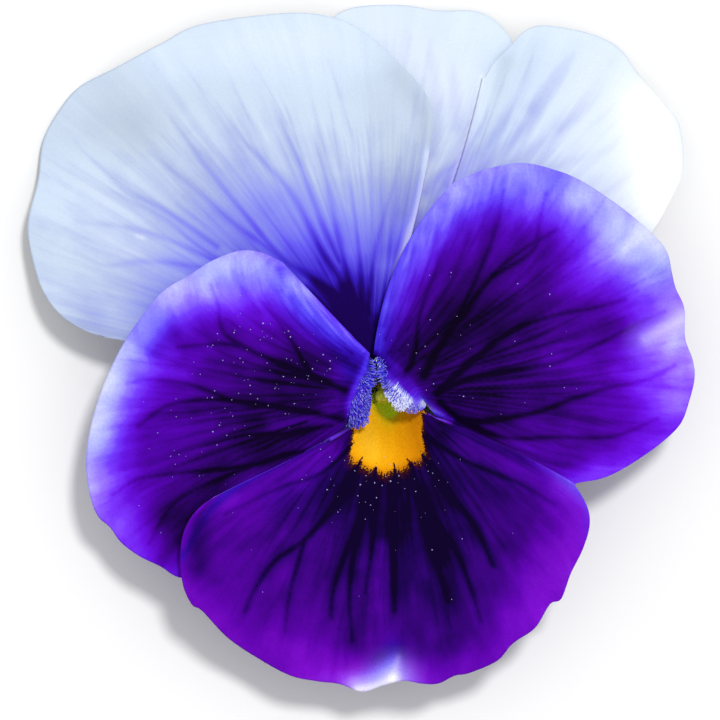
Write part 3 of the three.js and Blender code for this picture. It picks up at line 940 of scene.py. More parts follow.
LEFT_PAINT = Paint(
    depth=left_depth, fine=36, fine_reach=(0.75, 1.0), fine_strength=0.6, seed=13,
    tint_all_over=0.95, bends=(0.16, 0.1),
    veins=lines((
        ((-1.8, -7.6), (-5.6, -6.8), (-9.7, -6.2), (-13.4, -5.7), (-16.8, -5.6),
         (-20.2, -6.2), (-23.2, -8.3)),
        ((-1.5, -4.6), (-5.1, -3.1), (-8.9, -1.5), (-11.1, -0.6), (-13.4, 0.2), (-16.1, 0.2),
         (-19, -0.1)),
        ((-2.9, -10.6), (-7.5, -11.3), (-11.1, -12.4), (-14.9, -12.9), (-18.7, -13.2),
         (-23.2, -13.9), (-25.8, -15.5)),
    ), (0.4, 0.22), (1.0, 0.6)) + lines((
        ((-3.1, -8.2), (-7.5, -9.1), (-12, -9.3), (-15.6, -10.2), (-19.4, -11.3)),
        ((-5.1, -3.1), (-7.5, 1.1), (-10.4, 4.8)),
        ((-11.1, -0.6), (-14.2, 1.4), (-14.9, 4.5), (-15.6, 6.4)),
        ((-11.1, -12.4), (-17.5, -15.1), (-20.2, -17.3), (-22.1, -20.7)),
        ((-13.4, -5.7), (-17.8, -4), (-22.1, -3.5), (-24.4, -3.9)),
    ), (0.32, 0.2), (0.85, 0.4)),
    tint=(
        Stroke(((-0.5, -1.5), (-5, 3), (-9, 7.5), (-16, 8)), (1.8, 2.6), (-0.95, -0.8)),
        Stroke(((-22, 3), (-27, -5), (-28, -10)), (2.5, 2.5), (-0.8, -0.7)),
        Stroke(((-0.5, -2), (-1.2, -7.5)), (1.1, 1.1), (-0.5, -0.5)),
    ),
    deeper=(
        Stroke(((-8.5, 8), (-8.2, 6)), (0.45, 0.35), (0.16, 0.08)),
        Stroke(((-1.4, 1.2), (-0.6, 0.4), (0.3, -0.5)), (0.35, 0.35), (-0.1, -0.35)),
        Stroke(((-2.0, -3.2), (-2.9, -7.2)), (1.3, 1.3), (-0.1, -0.1)),
        Stroke(((-4, -7.5), (-9, -7.8)), (0.9, 1.0), (-0.1, -0.08)),
        Stroke(((-24.4, -9), (-25.6, -12)), (1.2, 1.2), (0.06, 0.06)),
        Stroke(((-19.6, 1.4), (-21.6, -0.8)), (1.0, 1.0), (0.14, 0.14)),
        Stroke(((-12, -3.6), (-15, -3.2)), (0.9, 0.9), (-0.08, -0.02)),
        Stroke(((-11, 8.8), (-14, 8.4)), (1.0, 1.0), (-0.08, -0.06)),
        Stroke(((-4.6, 5.6), (-6.5, 7.2)), (0.9, 0.9), (-0.06, -0.05)),
        Stroke(((-15, -15), (-20, -18)), (1.4, 1.6), (0.1, 0.12)),
        Stroke(((-18.5, -2.8), (-22, -2.6)), (1.2, 1.2), (-0.15, -0.1)),
        Stroke(((-26.5, -15.4), (-27, -17)), (1.0, 1.0), (0.06, 0.06)),
        Stroke(((-15.5, -8.4), (-19, -8.8)), (0.9, 0.9), (-0.07, -0.06)),
        Stroke(((-21, -19), (-24, -21)), (1.2, 1.2), (0.1, 0.1)),
        Stroke(((-17.5, -19), (-20.5, -22)), (1.3, 1.3), (0.2, 0.2)),
    ),
)

RIGHT_PAINT = Paint(
    depth=right_depth, fine=40, fine_reach=(0.75, 1.0), fine_strength=0.6, seed=14,
    tint_all_over=0.92, bends=(0.16, 0.0),
    veins=lines((
        ((8.1, -4.8), (12.4, -0.9), (16.5, 1.9), (21, 3.4), (24, 3.9), (27.7, 4.9)),
        ((6.7, -3), (8.4, 0.2), (10.9, 3.6), (13.9, 7.4), (16.9, 10), (20.6, 12.2)),
        ((8.4, -5.8), (11.2, -7.8), (17.6, -7.1), (22.5, -5.4), (26.2, -4.3), (30, -3.5),
         (33, -2)),
    ), (0.42, 0.24), (1.0, 0.6)) + lines((
        ((8.1, -4.8), (12.4, -3.1), (19.5, -2), (24, -0.2), (29.3, 2.5), (31.9, 3.6)),
        ((9.4, -7.2), (15, -9.5), (20.6, -9.5), (26.2, -9.5), (31.1, -7.6)),
        ((4.7, -3), (5.7, -0.9), (6.4, 3.9), (8.3, 8.9), (9, 10.8)),
        ((7.3, -1.4), (9.8, 2.2), (12.4, 7.7), (14.3, 12.7), (15, 16.3)),
        ((13.9, 7.4), (18, 10), (18.8, 13.4), (19.5, 16)),
    ), (0.34, 0.22), (0.9, 0.5)),
    tint=(
        Stroke(((1.5, 0), (3, 8), (9, 15), (17, 18)), (2.6, 3.4), (-0.9, -0.7)),
        Stroke(((1.5, -1), (6.5, -5.5)), (1.0, 1.0), (-0.35, -0.35)),
        Stroke(((6.6, -5.9), (10.5, -8.6)), (0.5, 0.5), (-0.6, -0.6)),
        Stroke(((22, 17), (31, 9)), (3, 3), (-0.6, -0.8)),
    ),
    # The first stroke is a darker patch of the petal's own colour near its crest. The next two darken and
    # lighten the right margin. The last is painted light on the claw under the white tuft, lightening the
    # shade between the hairs.
    painted_light_shade_and_patches=(
        Stroke(((7, -1), (11.5, 5)), (2.2, 3.2), (-0.6, -0.5)),
        Stroke(((27, 8), (32, 7.6)), (1.6, 1.4), (-0.1, -0.2)),
        Stroke(((30, 0.8), (34, 3.0)), (0.7, 0.9), (0.25, 0.35)),
        Stroke(((2.9, -4.6), (3.7, -5.5), (4.8, -6.2)), (0.55, 0.55), (0.7, 0.7)),
    ),
    deeper=(
        Stroke(((18, 14), (23, 16)), (1.6, 1.6), (-0.1, -0.1)),
        Stroke(((19.5, -1.2), (23, -1.8)), (1.0, 1.2), (-0.1, -0.1)),
        Stroke(((26.5, -12.2), (29.8, -10.8), (33.2, -7.6)), (1.4, 1.5), (0.08, 0.14)),
        Stroke(((32.2, -0.4), (33, 0.6)), (0.8, 0.8), (-0.1, -0.1)),
        Stroke(((34.2, -1.6), (34.6, -3.6)), (0.8, 0.8), (0.1, 0.1)),
        Stroke(((26.6, -2.6), (29.5, -3.6)), (0.9, 1.0), (-0.1, -0.1)),
        Stroke(((17.5, 4.8), (20.5, 6)), (0.9, 0.9), (-0.06, -0.06)),
        Stroke(((3.1, 4.4), (6.8, 10.2), (10.2, 14.8), (15.6, 15.8)), (1.1, 1.7), (-0.12, -0.14)),
        Stroke(((1.5, -0.9), (3.3, -2.4), (4.9, -4.0), (5.9, -5.1)), (0.45, 0.4), (0.22, 0.1)),
        Stroke(((28.5, -5), (33, -5.8)), (1.4, 1.4), (-0.08, -0.1)),
        Stroke(((15, -9.6), (20, -10.5)), (1.2, 1.2), (-0.07, -0.05)),
        Stroke(((15, 4.2), (19, 6)), (1.2, 1.4), (0.06, 0.05)),
        # Painted light: a highlight on the turned-up lower edge beside the throat, then lighter on the claw
        # where the tuft's hairs shade it.
        Stroke(((6.6, -5.9), (8.0, -6.7), (9.6, -7.6)), (0.5, 0.3), (-0.75, -0.35)),
        Stroke(((2.9, -4.4), (3.6, -5.4), (4.9, -6.3)), (0.6, 0.6), (-0.36, -0.36)),
    ),
)

LOWER_PAINT = Paint(
    depth=lower_depth, fine=30, fine_reach=(0.6, 0.95), fine_strength=0.45, seed=15,
    tint_all_over=0.95,
    veins=lines((
        ((0.3, -11.1), (-0.3, -12.4), (-2.6, -16.5), (-5.8, -20.2), (-9, -22.5),
         (-11.2, -25.7), (-12, -27.6)),
        ((1.7, -12.1), (1.5, -13.4), (0.1, -17.9), (-1.7, -22.1), (-2.8, -25.7), (-3, -28.4)),
        ((3.5, -11.7), (3.6, -13), (3.5, -17.1), (3.5, -21.6), (3.6, -27.6)),
        ((4.8, -11.4), (5, -12.4), (7, -17.5), (7.9, -22.5), (9.2, -26.6)),
        ((6.1, -10.4), (6.8, -11.7), (9.2, -15.2), (12, -18.8), (13.9, -22.9)),
    ), (0.4, 0.26), (1.0, 0.55)) + lines((
        ((-0.4, -9.6), (-1.2, -10.8), (-4.4, -13.4), (-8.5, -14.8), (-14.1, -17.5)),
        ((6.4, -8.8), (6.9, -9.4), (11.1, -12), (16.6, -14.3), (20.3, -16.5)),
        ((1.5, -13.4), (1.3, -18.2), (1.3, -20.6), (0.6, -25.7)),
        ((0.1, -17.9), (-0.8, -22.4), (-1.1, -26.6), (-0.8, -30.8)),
        ((7, -17.5), (9.7, -20.8), (11.5, -25), (12.6, -28.7)),
        ((-5.8, -20.2), (-7.3, -25.6), (-7.9, -29.8)),
    ), (0.3, 0.22), (0.9, 0.4)),
    tint=(
        Stroke(((-6, -30), (-2, -33)), (5, 4), (0.25, 0.3)),
        Stroke(((2.4, -35), (3.5, -31.6)), (2.0, 1.2), (-0.9, -0.9)),
        Stroke(((18, -13), (23, -15)), (3, 2), (-0.2, -0.25)),
        Stroke(((-1, -8.2), (-14, -15.5), (-18.6, -22)), (0.4, 0.35), (-0.9, -0.9)),
        Stroke(((7, -7.2), (22, -14.3), (24, -20)), (0.45, 0.5), (-0.35, -0.35)),
        Stroke(((-2, -14), (-8, -16)), (2, 2), (-0.4, -0.3)),
        Stroke(((6, -13), (5, -20)), (2.5, 2.5), (-0.3, -0.3)),
    ),
    # Painted light: a bright rim along the foot of the margin, and a lighter notch beside it.
    painted_light_shade_and_patches=(
        Stroke(((-0.2, -36), (1.6, -35.7), (3.4, -34.9)), (0.5, 0.7), (0.8, 0.6)),
        Stroke(((3.5, -34.6), (4.0, -32.6)), (0.6, 0.3), (0.4, 0.12)),
    ),
    deeper=(
        Stroke(((-0.2, -24), (0.2, -30)), (1.0, 0.9), (0.08, 0.02)),
        Stroke(((3.9, -20), (4.6, -26), (5.8, -30)), (1.0, 1.2), (0.1, 0.04)),
        Stroke(((8.5, -21), (9.4, -26), (10.2, -31.6)), (1.0, 1.3), (0.1, 0.1)),
        # Painted light: lighter along the left end of the bright rim at the foot of the margin.
        Stroke(((-0.6, -35.2), (1.6, -34.4), (3.6, -33)), (0.8, 0.8), (-0.16, -0.2)),
        Stroke(((-1.6, -31.2), (-1.6, -33.2)), (1.0, 0.9), (0.1, 0.1)),
        Stroke(((-16.8, -18.6), (-17, -23)), (1.6, 1.5), (0.2, 0.16)),
        Stroke(((-12, -19.8), (-14, -21)), (1.2, 1.3), (0.03, 0.04)),
        Stroke(((2.4, -21), (2.2, -27)), (0.9, 0.9), (-0.12, -0.08)),
        Stroke(((6.8, -25), (7.3, -28.4)), (0.8, 0.9), (0.06, 0.06)),
        Stroke(((-3, -11.4), (-6, -14.2)), (1.1, 1.1), (-0.16, -0.12)),
        Stroke(((9.6, -10.2), (15, -12.4), (20, -14.6)), (0.9, 1.0), (-0.06, -0.1)),
        Stroke(((-4.5, -19.5), (-7.5, -24)), (0.7, 0.8), (-0.05, -0.05)),
        Stroke(((18.5, -22), (20.5, -22.6)), (1.4, 1.6), (-0.06, -0.04)),
    ),
    eye=((-0.84, -8.1), (-0.76, -9.3), (-1.05, -10.5), (-1.05, -11.6), (-0.7, -12.3),
         (0.1, -12.6), (1.3, -13.1), (2.7, -13.4), (4.1, -13.1), (5.6, -12.4), (6.8, -11.6),
         (6.75, -10.2), (6.7, -8.8), (6.6, -7.6), (6.4, -5.6), (5.3, -5.0), (0.5, -5.4)),
    cuts=lines((
        ((-0.4, -9.8), (-1.1, -10.6), (-2.2, -11.6)),
        ((0.55, -10.8), (0.05, -12.1), (-0.9, -13.6)),
        ((1.8, -12.1), (1.6, -13), (1.5, -14)),
        ((3.4, -11.9), (3.6, -12.8), (3.7, -14)),
        ((4.8, -11.5), (5.3, -12.4), (5.8, -13.2)),
        ((6.1, -10.5), (6.7, -11.6), (7.4, -12.6)),
        ((6.5, -8.8), (6.8, -9.6), (7.4, -10.4)),
    ), (0.07, 0.14), (0.6, 1.0)),
    throat=(
        Stroke(((1.8, -4.2), (2.3, -5.6), (3.2, -6.6)), (1.5, 0.9), (1.4, 1.2)),
        Stroke(((2.9, -7.2), (3.0, -8.3)), (0.8, 0.8), (0.4, 0.2)),
    ),
    yolk=(
        Stroke(((0.6, -9), (1.2, -11.4)), (1.6, 1.6), (0.35, 0.4)),
        Stroke(((5.9, -6.4), (6.2, -10.5)), (1.2, 1.1), (-0.35, -0.3)),
        Stroke(((-0.9, -12), (2.6, -13.4), (6.4, -12)), (0.55, 0.55), (-0.4, -0.4)),
        Stroke(((4.3, -8.6), (4.6, -10.6)), (1.0, 1.0), (-0.12, -0.1)),
    ),
)


# ---- finishes -----------------------------------------------------------------------------


@dataclass(frozen=True, kw_only=True)
class Skin:
    """A skin of living cells: a colour that a fine grain breaks up, and a soft gloss.

    Skin cells are about 0.03 mm, too fine for the picture, so the grain is drawn coarser.
    Sizes are in millimetres.
    """

    name: str
    grain: float = 0.08
    grain_size: float = 1 / 4.5
    grain_detail: float = 2.0
    grain_spread: Pair = (0.3, 0.7)
    bump: float = 0.5
    bump_height: float = 0.065
    roughness: float = 0.75
    specular: float = 0.04
    sheen: float = 0.02
    sheen_roughness: float = 0.4
    ior: float = 1.4

    def dress(self, tree: bpy.types.NodeTree, place: bpy.types.NodeSocket,
              grain: bpy.types.NodeSocket) -> tuple[bpy.types.NodeSocket, bpy.types.NodeSocket]:
        """Works out the colour and the relief, which each kind of skin does in its own way.

        Args:
            tree: the material's nodes.
            place: object coordinates.
            grain: the grain.

        Returns:
            The colour and the height.
        """
        raise NotImplementedError

    def make(self) -> bpy.types.Material:
        """Makes the skin.

        Returns:
            The material, which reads the piece's attributes and its object coordinates.
        """
        material = bpy.data.materials.new(self.name)
        material.use_nodes = True
        tree = material.node_tree
        place = add(tree, "TexCoord").outputs["Object"]
        grain = add(tree, "TexNoise", {"Scale": 1 / (self.grain_size * MM), "Detail": self.grain_detail},
                    {"Vector": place}).outputs["Fac"]
        colour, height = self.dress(tree, place, grain)
        least, most = self.grain_spread
        level = add(tree, "MapRange", {"From Min": least, "From Max": most, "To Min": 1 - self.grain,
                                       "To Max": 1 + self.grain}, {"Value": grain}).outputs[0]
        grained = add(tree, "Mix", {**COLOURS, "blend_type": "MULTIPLY", FACTOR: 1.0},
                      {UNDER: colour, OVER: level}).outputs[MIXED]
        relief = add(tree, "Bump", {"Strength": self.bump, "Distance": self.bump_height * MM},
                     {"Height": height}).outputs["Normal"]
        shader = tree.nodes["Principled BSDF"]
        tree.links.new(grained, shader.inputs["Base Color"])
        tree.links.new(relief, shader.inputs["Normal"])
        for socket, value in (("Roughness", self.roughness), ("IOR", self.ior),
                              ("Specular IOR Level", self.specular), ("Sheen Weight", self.sheen),
                              ("Sheen Roughness", self.sheen_roughness)):
            shader.inputs[socket].default_value = value
        return material


@dataclass(frozen=True, kw_only=True)
class PetalSkin(Skin):
    """Living petal: a velvety skin of tiny cones that scatter the light, over coloured cell juice.

    The cool ramp is the blue side of its violet and the warm ramp the red side. The depths say
    how much veins, streaks and clouds add to the depth of the colour.
    """

    cool: Stops
    warm: Stops
    vein_depth: float
    streak_depth: float
    cloud_depth: float = 0.16
    cloud_size: float = 1 / 0.26
    streaks_across: float = 34.0
    streaks_along: float = 4.5
    # Painted light mixes in this white, and painted shade mixes in this near-black.
    light: str = "FFFFFF"
    shade: str = "05000C"
    vein_sink: float = -0.75
    grain_height: float = 0.45

    def dress(self, tree: bpy.types.NodeTree, place: bpy.types.NodeSocket,
              grain: bpy.types.NodeSocket) -> tuple[bpy.types.NodeSocket, bpy.types.NodeSocket]:
        """Colours the petal by the layers painted on it, painted light and painted shade among them, and
        sinks its veins.

        Args:
            tree: the material's nodes.
            place: object coordinates.
            grain: the grain.

        Returns:
            The colour and the height.
        """
        layers = {name: add(tree, "Attribute", {"attribute_name": name}).outputs["Fac"]
                  for name in ("depth", "veins", "tint", "light", "shade", "fan")}

        # Streaks run out from the petal's foot and fan with it.
        uv = add(tree, "UVMap").outputs["UV"]
        out = add(tree, "SeparateXYZ", links={0: uv}).outputs["Y"]
        rays = add(tree, "CombineXYZ", links={"X": layers["fan"], "Y": out}).outputs[0]
        fanned = add(tree, "Mapping", {"Scale": (self.streaks_across, self.streaks_along, 1)},
                     {"Vector": rays}).outputs["Vector"]
        streaks = add(tree, "TexNoise", {"Scale": 1.0, "Detail": 4.0, "Roughness": 0.55, "Distortion": 0.3},
                      {"Vector": fanned}).outputs["Fac"]
        clouds = add(tree, "TexNoise", {"Scale": 1 / (self.cloud_size * MM), "Detail": 2.0},
                     {"Vector": place}).outputs["Fac"]

        depth = add(tree, "Math", {"operation": "MULTIPLY_ADD", 1: self.vein_depth},
                    {0: layers["veins"], 2: layers["depth"]}).outputs[0]
        for pattern, share in ((streaks, self.streak_depth), (clouds, self.cloud_depth)):
            swing = add(tree, "MapRange", {"To Min": -share / 2, "To Max": share / 2},
                        {"Value": pattern}).outputs[0]
            depth = add(tree, "Math", {"operation": "ADD"}, {0: depth, 1: swing}).outputs[0]

        cool, warm = (add(tree, "ValToRGB", {"stops": stops}, {"Fac": depth}).outputs["Color"]
                      for stops in (self.cool, self.warm))
        tinted = add(tree, "Mix", COLOURS, {FACTOR: layers["tint"], UNDER: cool, OVER: warm}).outputs[MIXED]
        # Painted light, then painted shade, are mixed over the petal's colour.
        lit = add(tree, "Mix", {**COLOURS, OVER: linear(self.light)},
                  {FACTOR: layers["light"], UNDER: tinted}).outputs[MIXED]
        colour_with_painted_light_and_shade = add(tree, "Mix", {**COLOURS, OVER: linear(self.shade)},
                  {FACTOR: layers["shade"], UNDER: lit}).outputs[MIXED]

        sunk = add(tree, "Math", {"operation": "MULTIPLY_ADD", 1: self.vein_sink},
                   {0: layers["veins"], 2: streaks}).outputs[0]
        height = add(tree, "Math", {"operation": "MULTIPLY_ADD", 1: self.grain_height},
                     {0: grain, 2: sunk}).outputs[0]
        return self.eye(tree, rays, place, colour_with_painted_light_and_shade), height

    def eye(self, tree: bpy.types.NodeTree, rays: bpy.types.NodeSocket, place: bpy.types.NodeSocket,
            under: bpy.types.NodeSocket) -> bpy.types.NodeSocket:
        """Leaves the colour as it is; the lower petal's skin paints its eye here."""
        return under


@dataclass(frozen=True, kw_only=True)
class EyedSkin(PetalSkin):
    """The lower petal's skin, with a yellow eye whose edge frays along the petal's rays."""

    yolk: Stops = ((0.0, "B86A02"), (0.25, "D88A06"), (0.5, "EEA208"), (0.75, "FAB616"), (1.0, "FDC22E"))
    green: Stops = ((0.0, "E8B00C"), (0.5, "C4BC10"), (1.0, "CEF022"))
    maroon: str = "3A0C06"
    frays: tuple[float, float, float] = (150, 13, 1)
    fray: float = 0.5
    speck: float = 0.8
    speck_size: float = 1 / 6.5
    fringe_reach: Pair = (-0.9, -0.1)
    fringe_cover: float = 0.9
    edge: Pair = (-0.1, 0.22)

    def eye(self, tree: bpy.types.NodeTree, rays: bpy.types.NodeSocket, place: bpy.types.NodeSocket,
            under: bpy.types.NodeSocket) -> bpy.types.NodeSocket:
        """Paints the eye over the petal's colour.

        Args:
            tree: the material's nodes.
            rays: place across and along the petal.
            place: object coordinates.
            under: the petal's colour.

        Returns:
            The colour with the eye.
        """
        layers = {name: add(tree, "Attribute", {"attribute_name": name}).outputs["Fac"]
                  for name in ("eye", "throat", "yolk")}
        fine = add(tree, "Mapping", {"Scale": self.frays}, {"Vector": rays}).outputs["Vector"]
        frayed = add(tree, "TexNoise", {"Scale": 1.0, "Detail": 2.0, "Roughness": 0.6},
                     {"Vector": fine}).outputs["Fac"]
        specks = add(tree, "TexNoise", {"Scale": 1 / (self.speck_size * MM), "Detail": 1.0},
                     {"Vector": place}).outputs["Fac"]
        reach = layers["eye"]
        for pattern, share in ((frayed, self.fray), (specks, self.speck)):
            swing = add(tree, "MapRange", {"To Min": -share, "To Max": share},
                        {"Value": pattern}).outputs[0]
            reach = add(tree, "Math", {"operation": "ADD"}, {0: reach, 1: swing}).outputs[0]
        # A maroon fringe shows just outside the yellow, and a little of it between its rays.
        fringe = add(tree, "MapRange", {"From Min": self.fringe_reach[0], "From Max": self.fringe_reach[1],
                                        "To Max": self.fringe_cover}, {"Value": reach}).outputs[0]
        cover = add(tree, "MapRange", {"From Min": self.edge[0], "From Max": self.edge[1]},
                    {"Value": reach}).outputs[0]
        yolk, green = (add(tree, "ValToRGB", {"stops": stops}, {"Fac": layers[name]}).outputs["Color"]
                       for name, stops in (("yolk", self.yolk), ("throat", self.green)))
        fringed = add(tree, "Mix", {**COLOURS, OVER: linear(self.maroon)},
                      {FACTOR: fringe, UNDER: under}).outputs[MIXED]
        throat = add(tree, "Mix", COLOURS,
                     {FACTOR: layers["throat"], UNDER: yolk, OVER: green}).outputs[MIXED]
        return add(tree, "Mix", COLOURS, {FACTOR: cover, UNDER: fringed, OVER: throat}).outputs[MIXED]


@dataclass(frozen=True, kw_only=True)
class PlainSkin(Skin):
    """A skin coloured along the piece, by its attribute "along".

    Where the attribute named by second is 1, the second stops take the place of the first.
    """

    stops: Stops
    second: str = ""
    second_stops: Stops = ()
    grain_detail: float = 3.0
    bump: float = 0.4
    bump_height: float = 0.06
    specular: float = 0.3
    sheen: float = 0.0

    def dress(self, tree: bpy.types.NodeTree, place: bpy.types.NodeSocket,
              grain: bpy.types.NodeSocket) -> tuple[bpy.types.NodeSocket, bpy.types.NodeSocket]:
        """Colours the piece along its length.

        Args:
            tree: the material's nodes.
            place: object coordinates, not used.
            grain: the grain.

        Returns:
            The colour, and the grain for the height.
        """
        along = add(tree, "Attribute", {"attribute_name": "along"}).outputs["Fac"]
        colour = add(tree, "ValToRGB", {"stops": self.stops}, {"Fac": along}).outputs["Color"]
        if self.second:
            share = add(tree, "Attribute", {"attribute_name": self.second}).outputs["Fac"]
            other = add(tree, "ValToRGB", {"stops": self.second_stops}, {"Fac": along}).outputs["Color"]
            colour = add(tree, "Mix", COLOURS, {FACTOR: share, UNDER: colour, OVER: other}).outputs[MIXED]
        return colour, grain


COOL_WHITE = ((0.0, "CBDAEB"), (0.1, "C4D3E8"), (0.235, "A2AEDC"), (0.36, "8990E2"), (0.6, "5E52E3"),
              (0.78, "3A1FC0"), (0.9, "260A86"), (1.0, "1A0255"))
COOL_VIOLET = ((0.0, "DCE2FA"), (0.14, "AEB6FA"), (0.28, "7F7DF8"), (0.42, "5448EC"),
               (0.56, "3F22D2"), (0.7, "3008A4"), (0.82, "210074"), (0.92, "14004A"), (1.0, "080022"))
WARM_VIOLET = ((0.0, "DCE2FC"), (0.14, "B8B0FC"), (0.28, "966AFC"), (0.42, "7A30F4"),
               (0.56, "680CDA"), (0.7, "5400AC"), (0.82, "3C007E"), (0.92, "220050"), (1.0, "0C0022"))
MAGENTA_VIOLET = ((0.0, "DCE2FC"), (0.14, "C0ACFC"), (0.28, "A066F8"), (0.42, "8C28E6"),
                  (0.56, "780AC4"), (0.7, "5A00A6"), (0.82, "3C007E"), (0.92, "1E0052"), (1.0, "0C0028"))
DULL_WHITE = ((0.0, "D3DDE6"), (0.2, "C2CBE0"), (0.5, "A3A6DA"), (0.8, "8480CC"), (1.0, "6F66B8"))
DULL_VIOLET = ((0.0, "DADDF2"), (0.14, "B7B6EE"), (0.28, "948CE6"), (0.42, "6F60DA"),
               (0.56, "5645C2"), (0.7, "4833A6"), (0.82, "3E2A90"), (0.92, "33227A"), (1.0, "2A1C66"))
DULL_MAUVE = ((0.0, "E0DCF2"), (0.14, "C4B4EC"), (0.28, "A488E4"), (0.42, "8560D6"),
              (0.56, "6F45C0"), (0.7, "5C32A6"), (0.82, "4E288E"), (0.92, "412078"), (1.0, "361A64"))


class Finish(Enum):
    """The skins of the bloom."""

    # The face of a pale petal: velvety white that cools to blue, with violet veins sunk in it.
    WHITE = PetalSkin(
        name="white petal skin", cool=COOL_WHITE, warm=COOL_WHITE, vein_depth=0.3, streak_depth=0.26,
        cloud_depth=0.1, streaks_across=52.0, streaks_along=2.6, grain=0.025)
    # The face of a violet petal: velvety and without gloss, its cell juice streaked from blue to purple.
    VIOLET = PetalSkin(
        name="violet petal skin", cool=COOL_VIOLET, warm=WARM_VIOLET, vein_depth=0.22, streak_depth=0.3)
    # The lower petal's face: the deepest, reddest velvet, and an egg-yellow eye with a frayed edge.
    DEEP_VIOLET = EyedSkin(
        name="deep violet petal skin", cool=COOL_VIOLET, warm=MAGENTA_VIOLET, vein_depth=0.24,
        streak_depth=0.2)
    # A petal's back is duller and milkier than its face, and its veins show more.
    WHITE_BACK = PetalSkin(
        name="white petal back", cool=DULL_WHITE, warm=DULL_WHITE, vein_depth=0.4, streak_depth=0.26,
        cloud_depth=0.1, streaks_across=52.0, streaks_along=2.6, grain=0.03)
    VIOLET_BACK = PetalSkin(
        name="violet petal back", cool=DULL_VIOLET, warm=DULL_MAUVE, vein_depth=0.34, streak_depth=0.3)
    # Beard hairs: single swollen cells full of clear cell juice, which look white, and blue at the root.
    HAIR = PlainSkin(
        name="white hair cells", grain_size=0.2, grain=0.05, roughness=0.5, specular=0.06,
        stops=((0.0, "7C78F0"), (0.3, "B2B4FA"), (0.65, "D8DCFE"), (1.0, "E8ECFF")),
        second="blue", second_stops=((0.0, "2408B0"), (0.5, "2A16D4"), (1.0, "3E2EF0")))
    # Pollen: dry grains with a rough coat, pale specks against the violet.
    POLLEN = PlainSkin(
        name="pollen", grain_size=0.05, grain=0.1, roughness=0.7, specular=0.2,
        stops=((0.0, "A8A4D8"), (1.0, "A8A4D8")))
    # Sepal: matt green leaf skin, paler along its nerves and its membranous edge.
    SEPAL = PlainSkin(
        name="sepal leaf skin", grain_size=0.4, grain=0.14, roughness=0.55,
        stops=((0.0, "9DB86A"), (0.25, "7C9C45"), (0.6, "628A38"), (0.9, "587C36"), (1.0, "66664A")),
        second="pale", second_stops=((0.0, "BCCB8C"), (0.8, "A3BC72"), (1.0, "8C8A68")))
    # Stalk: smooth ribbed green stem with a slight shine, fresh and watery where it is cut.
    STALK = PlainSkin(
        name="stalk skin", grain_size=0.5, grain=0.1, roughness=0.45,
        stops=((0.0, "8FAE57"), (0.3, "7E9F4A"), (0.93, "76974A"), (0.97, "B7C98A"), (1.0, "CFDCA6")))
    # Spur: thin petal tissue, green at its mouth and violet to its blunt end.
    SPUR = PlainSkin(
        name="spur petal skin", grain_size=0.3, grain=0.12, roughness=0.6, specular=0.15,
        stops=((0.0, "A6B24A"), (0.2, "8F8FB4"), (0.5, "6E5CC0"), (1.0, "3C1E9A")))
    # Anther: matt cream pollen sacs under a dry orange-olive membrane.
    ANTHER = PlainSkin(
        name="anther skin", grain_size=0.25, grain=0.12, roughness=0.55,
        stops=((0.0, "DDE0B0"), (0.5, "E0DCA8"), (0.62, "A9A030"), (0.8, "7E8614"), (1.0, "6C7A10")))
    # Stigma: moist, waxy green-yellow tissue with a soft shine, and painted shade darkening its hollow.
    STIGMA = PlainSkin(
        name="stigma skin", grain_size=0.3, grain=0.08, roughness=0.4, specular=0.4,
        stops=((0.0, "9DB04A"), (0.6, "B4C42C"), (1.0, "D2DE34")),
        second="hollow", second_stops=((0.0, "5A6410"), (1.0, "5A6410")))

    def material(self) -> bpy.types.Material:
        """Returns the finish's material, made the first time that it is asked for."""
        return bpy.data.materials.get(self.value.name) or self.value.make()


# ---- the petals ---------------------------------------------------------------------------


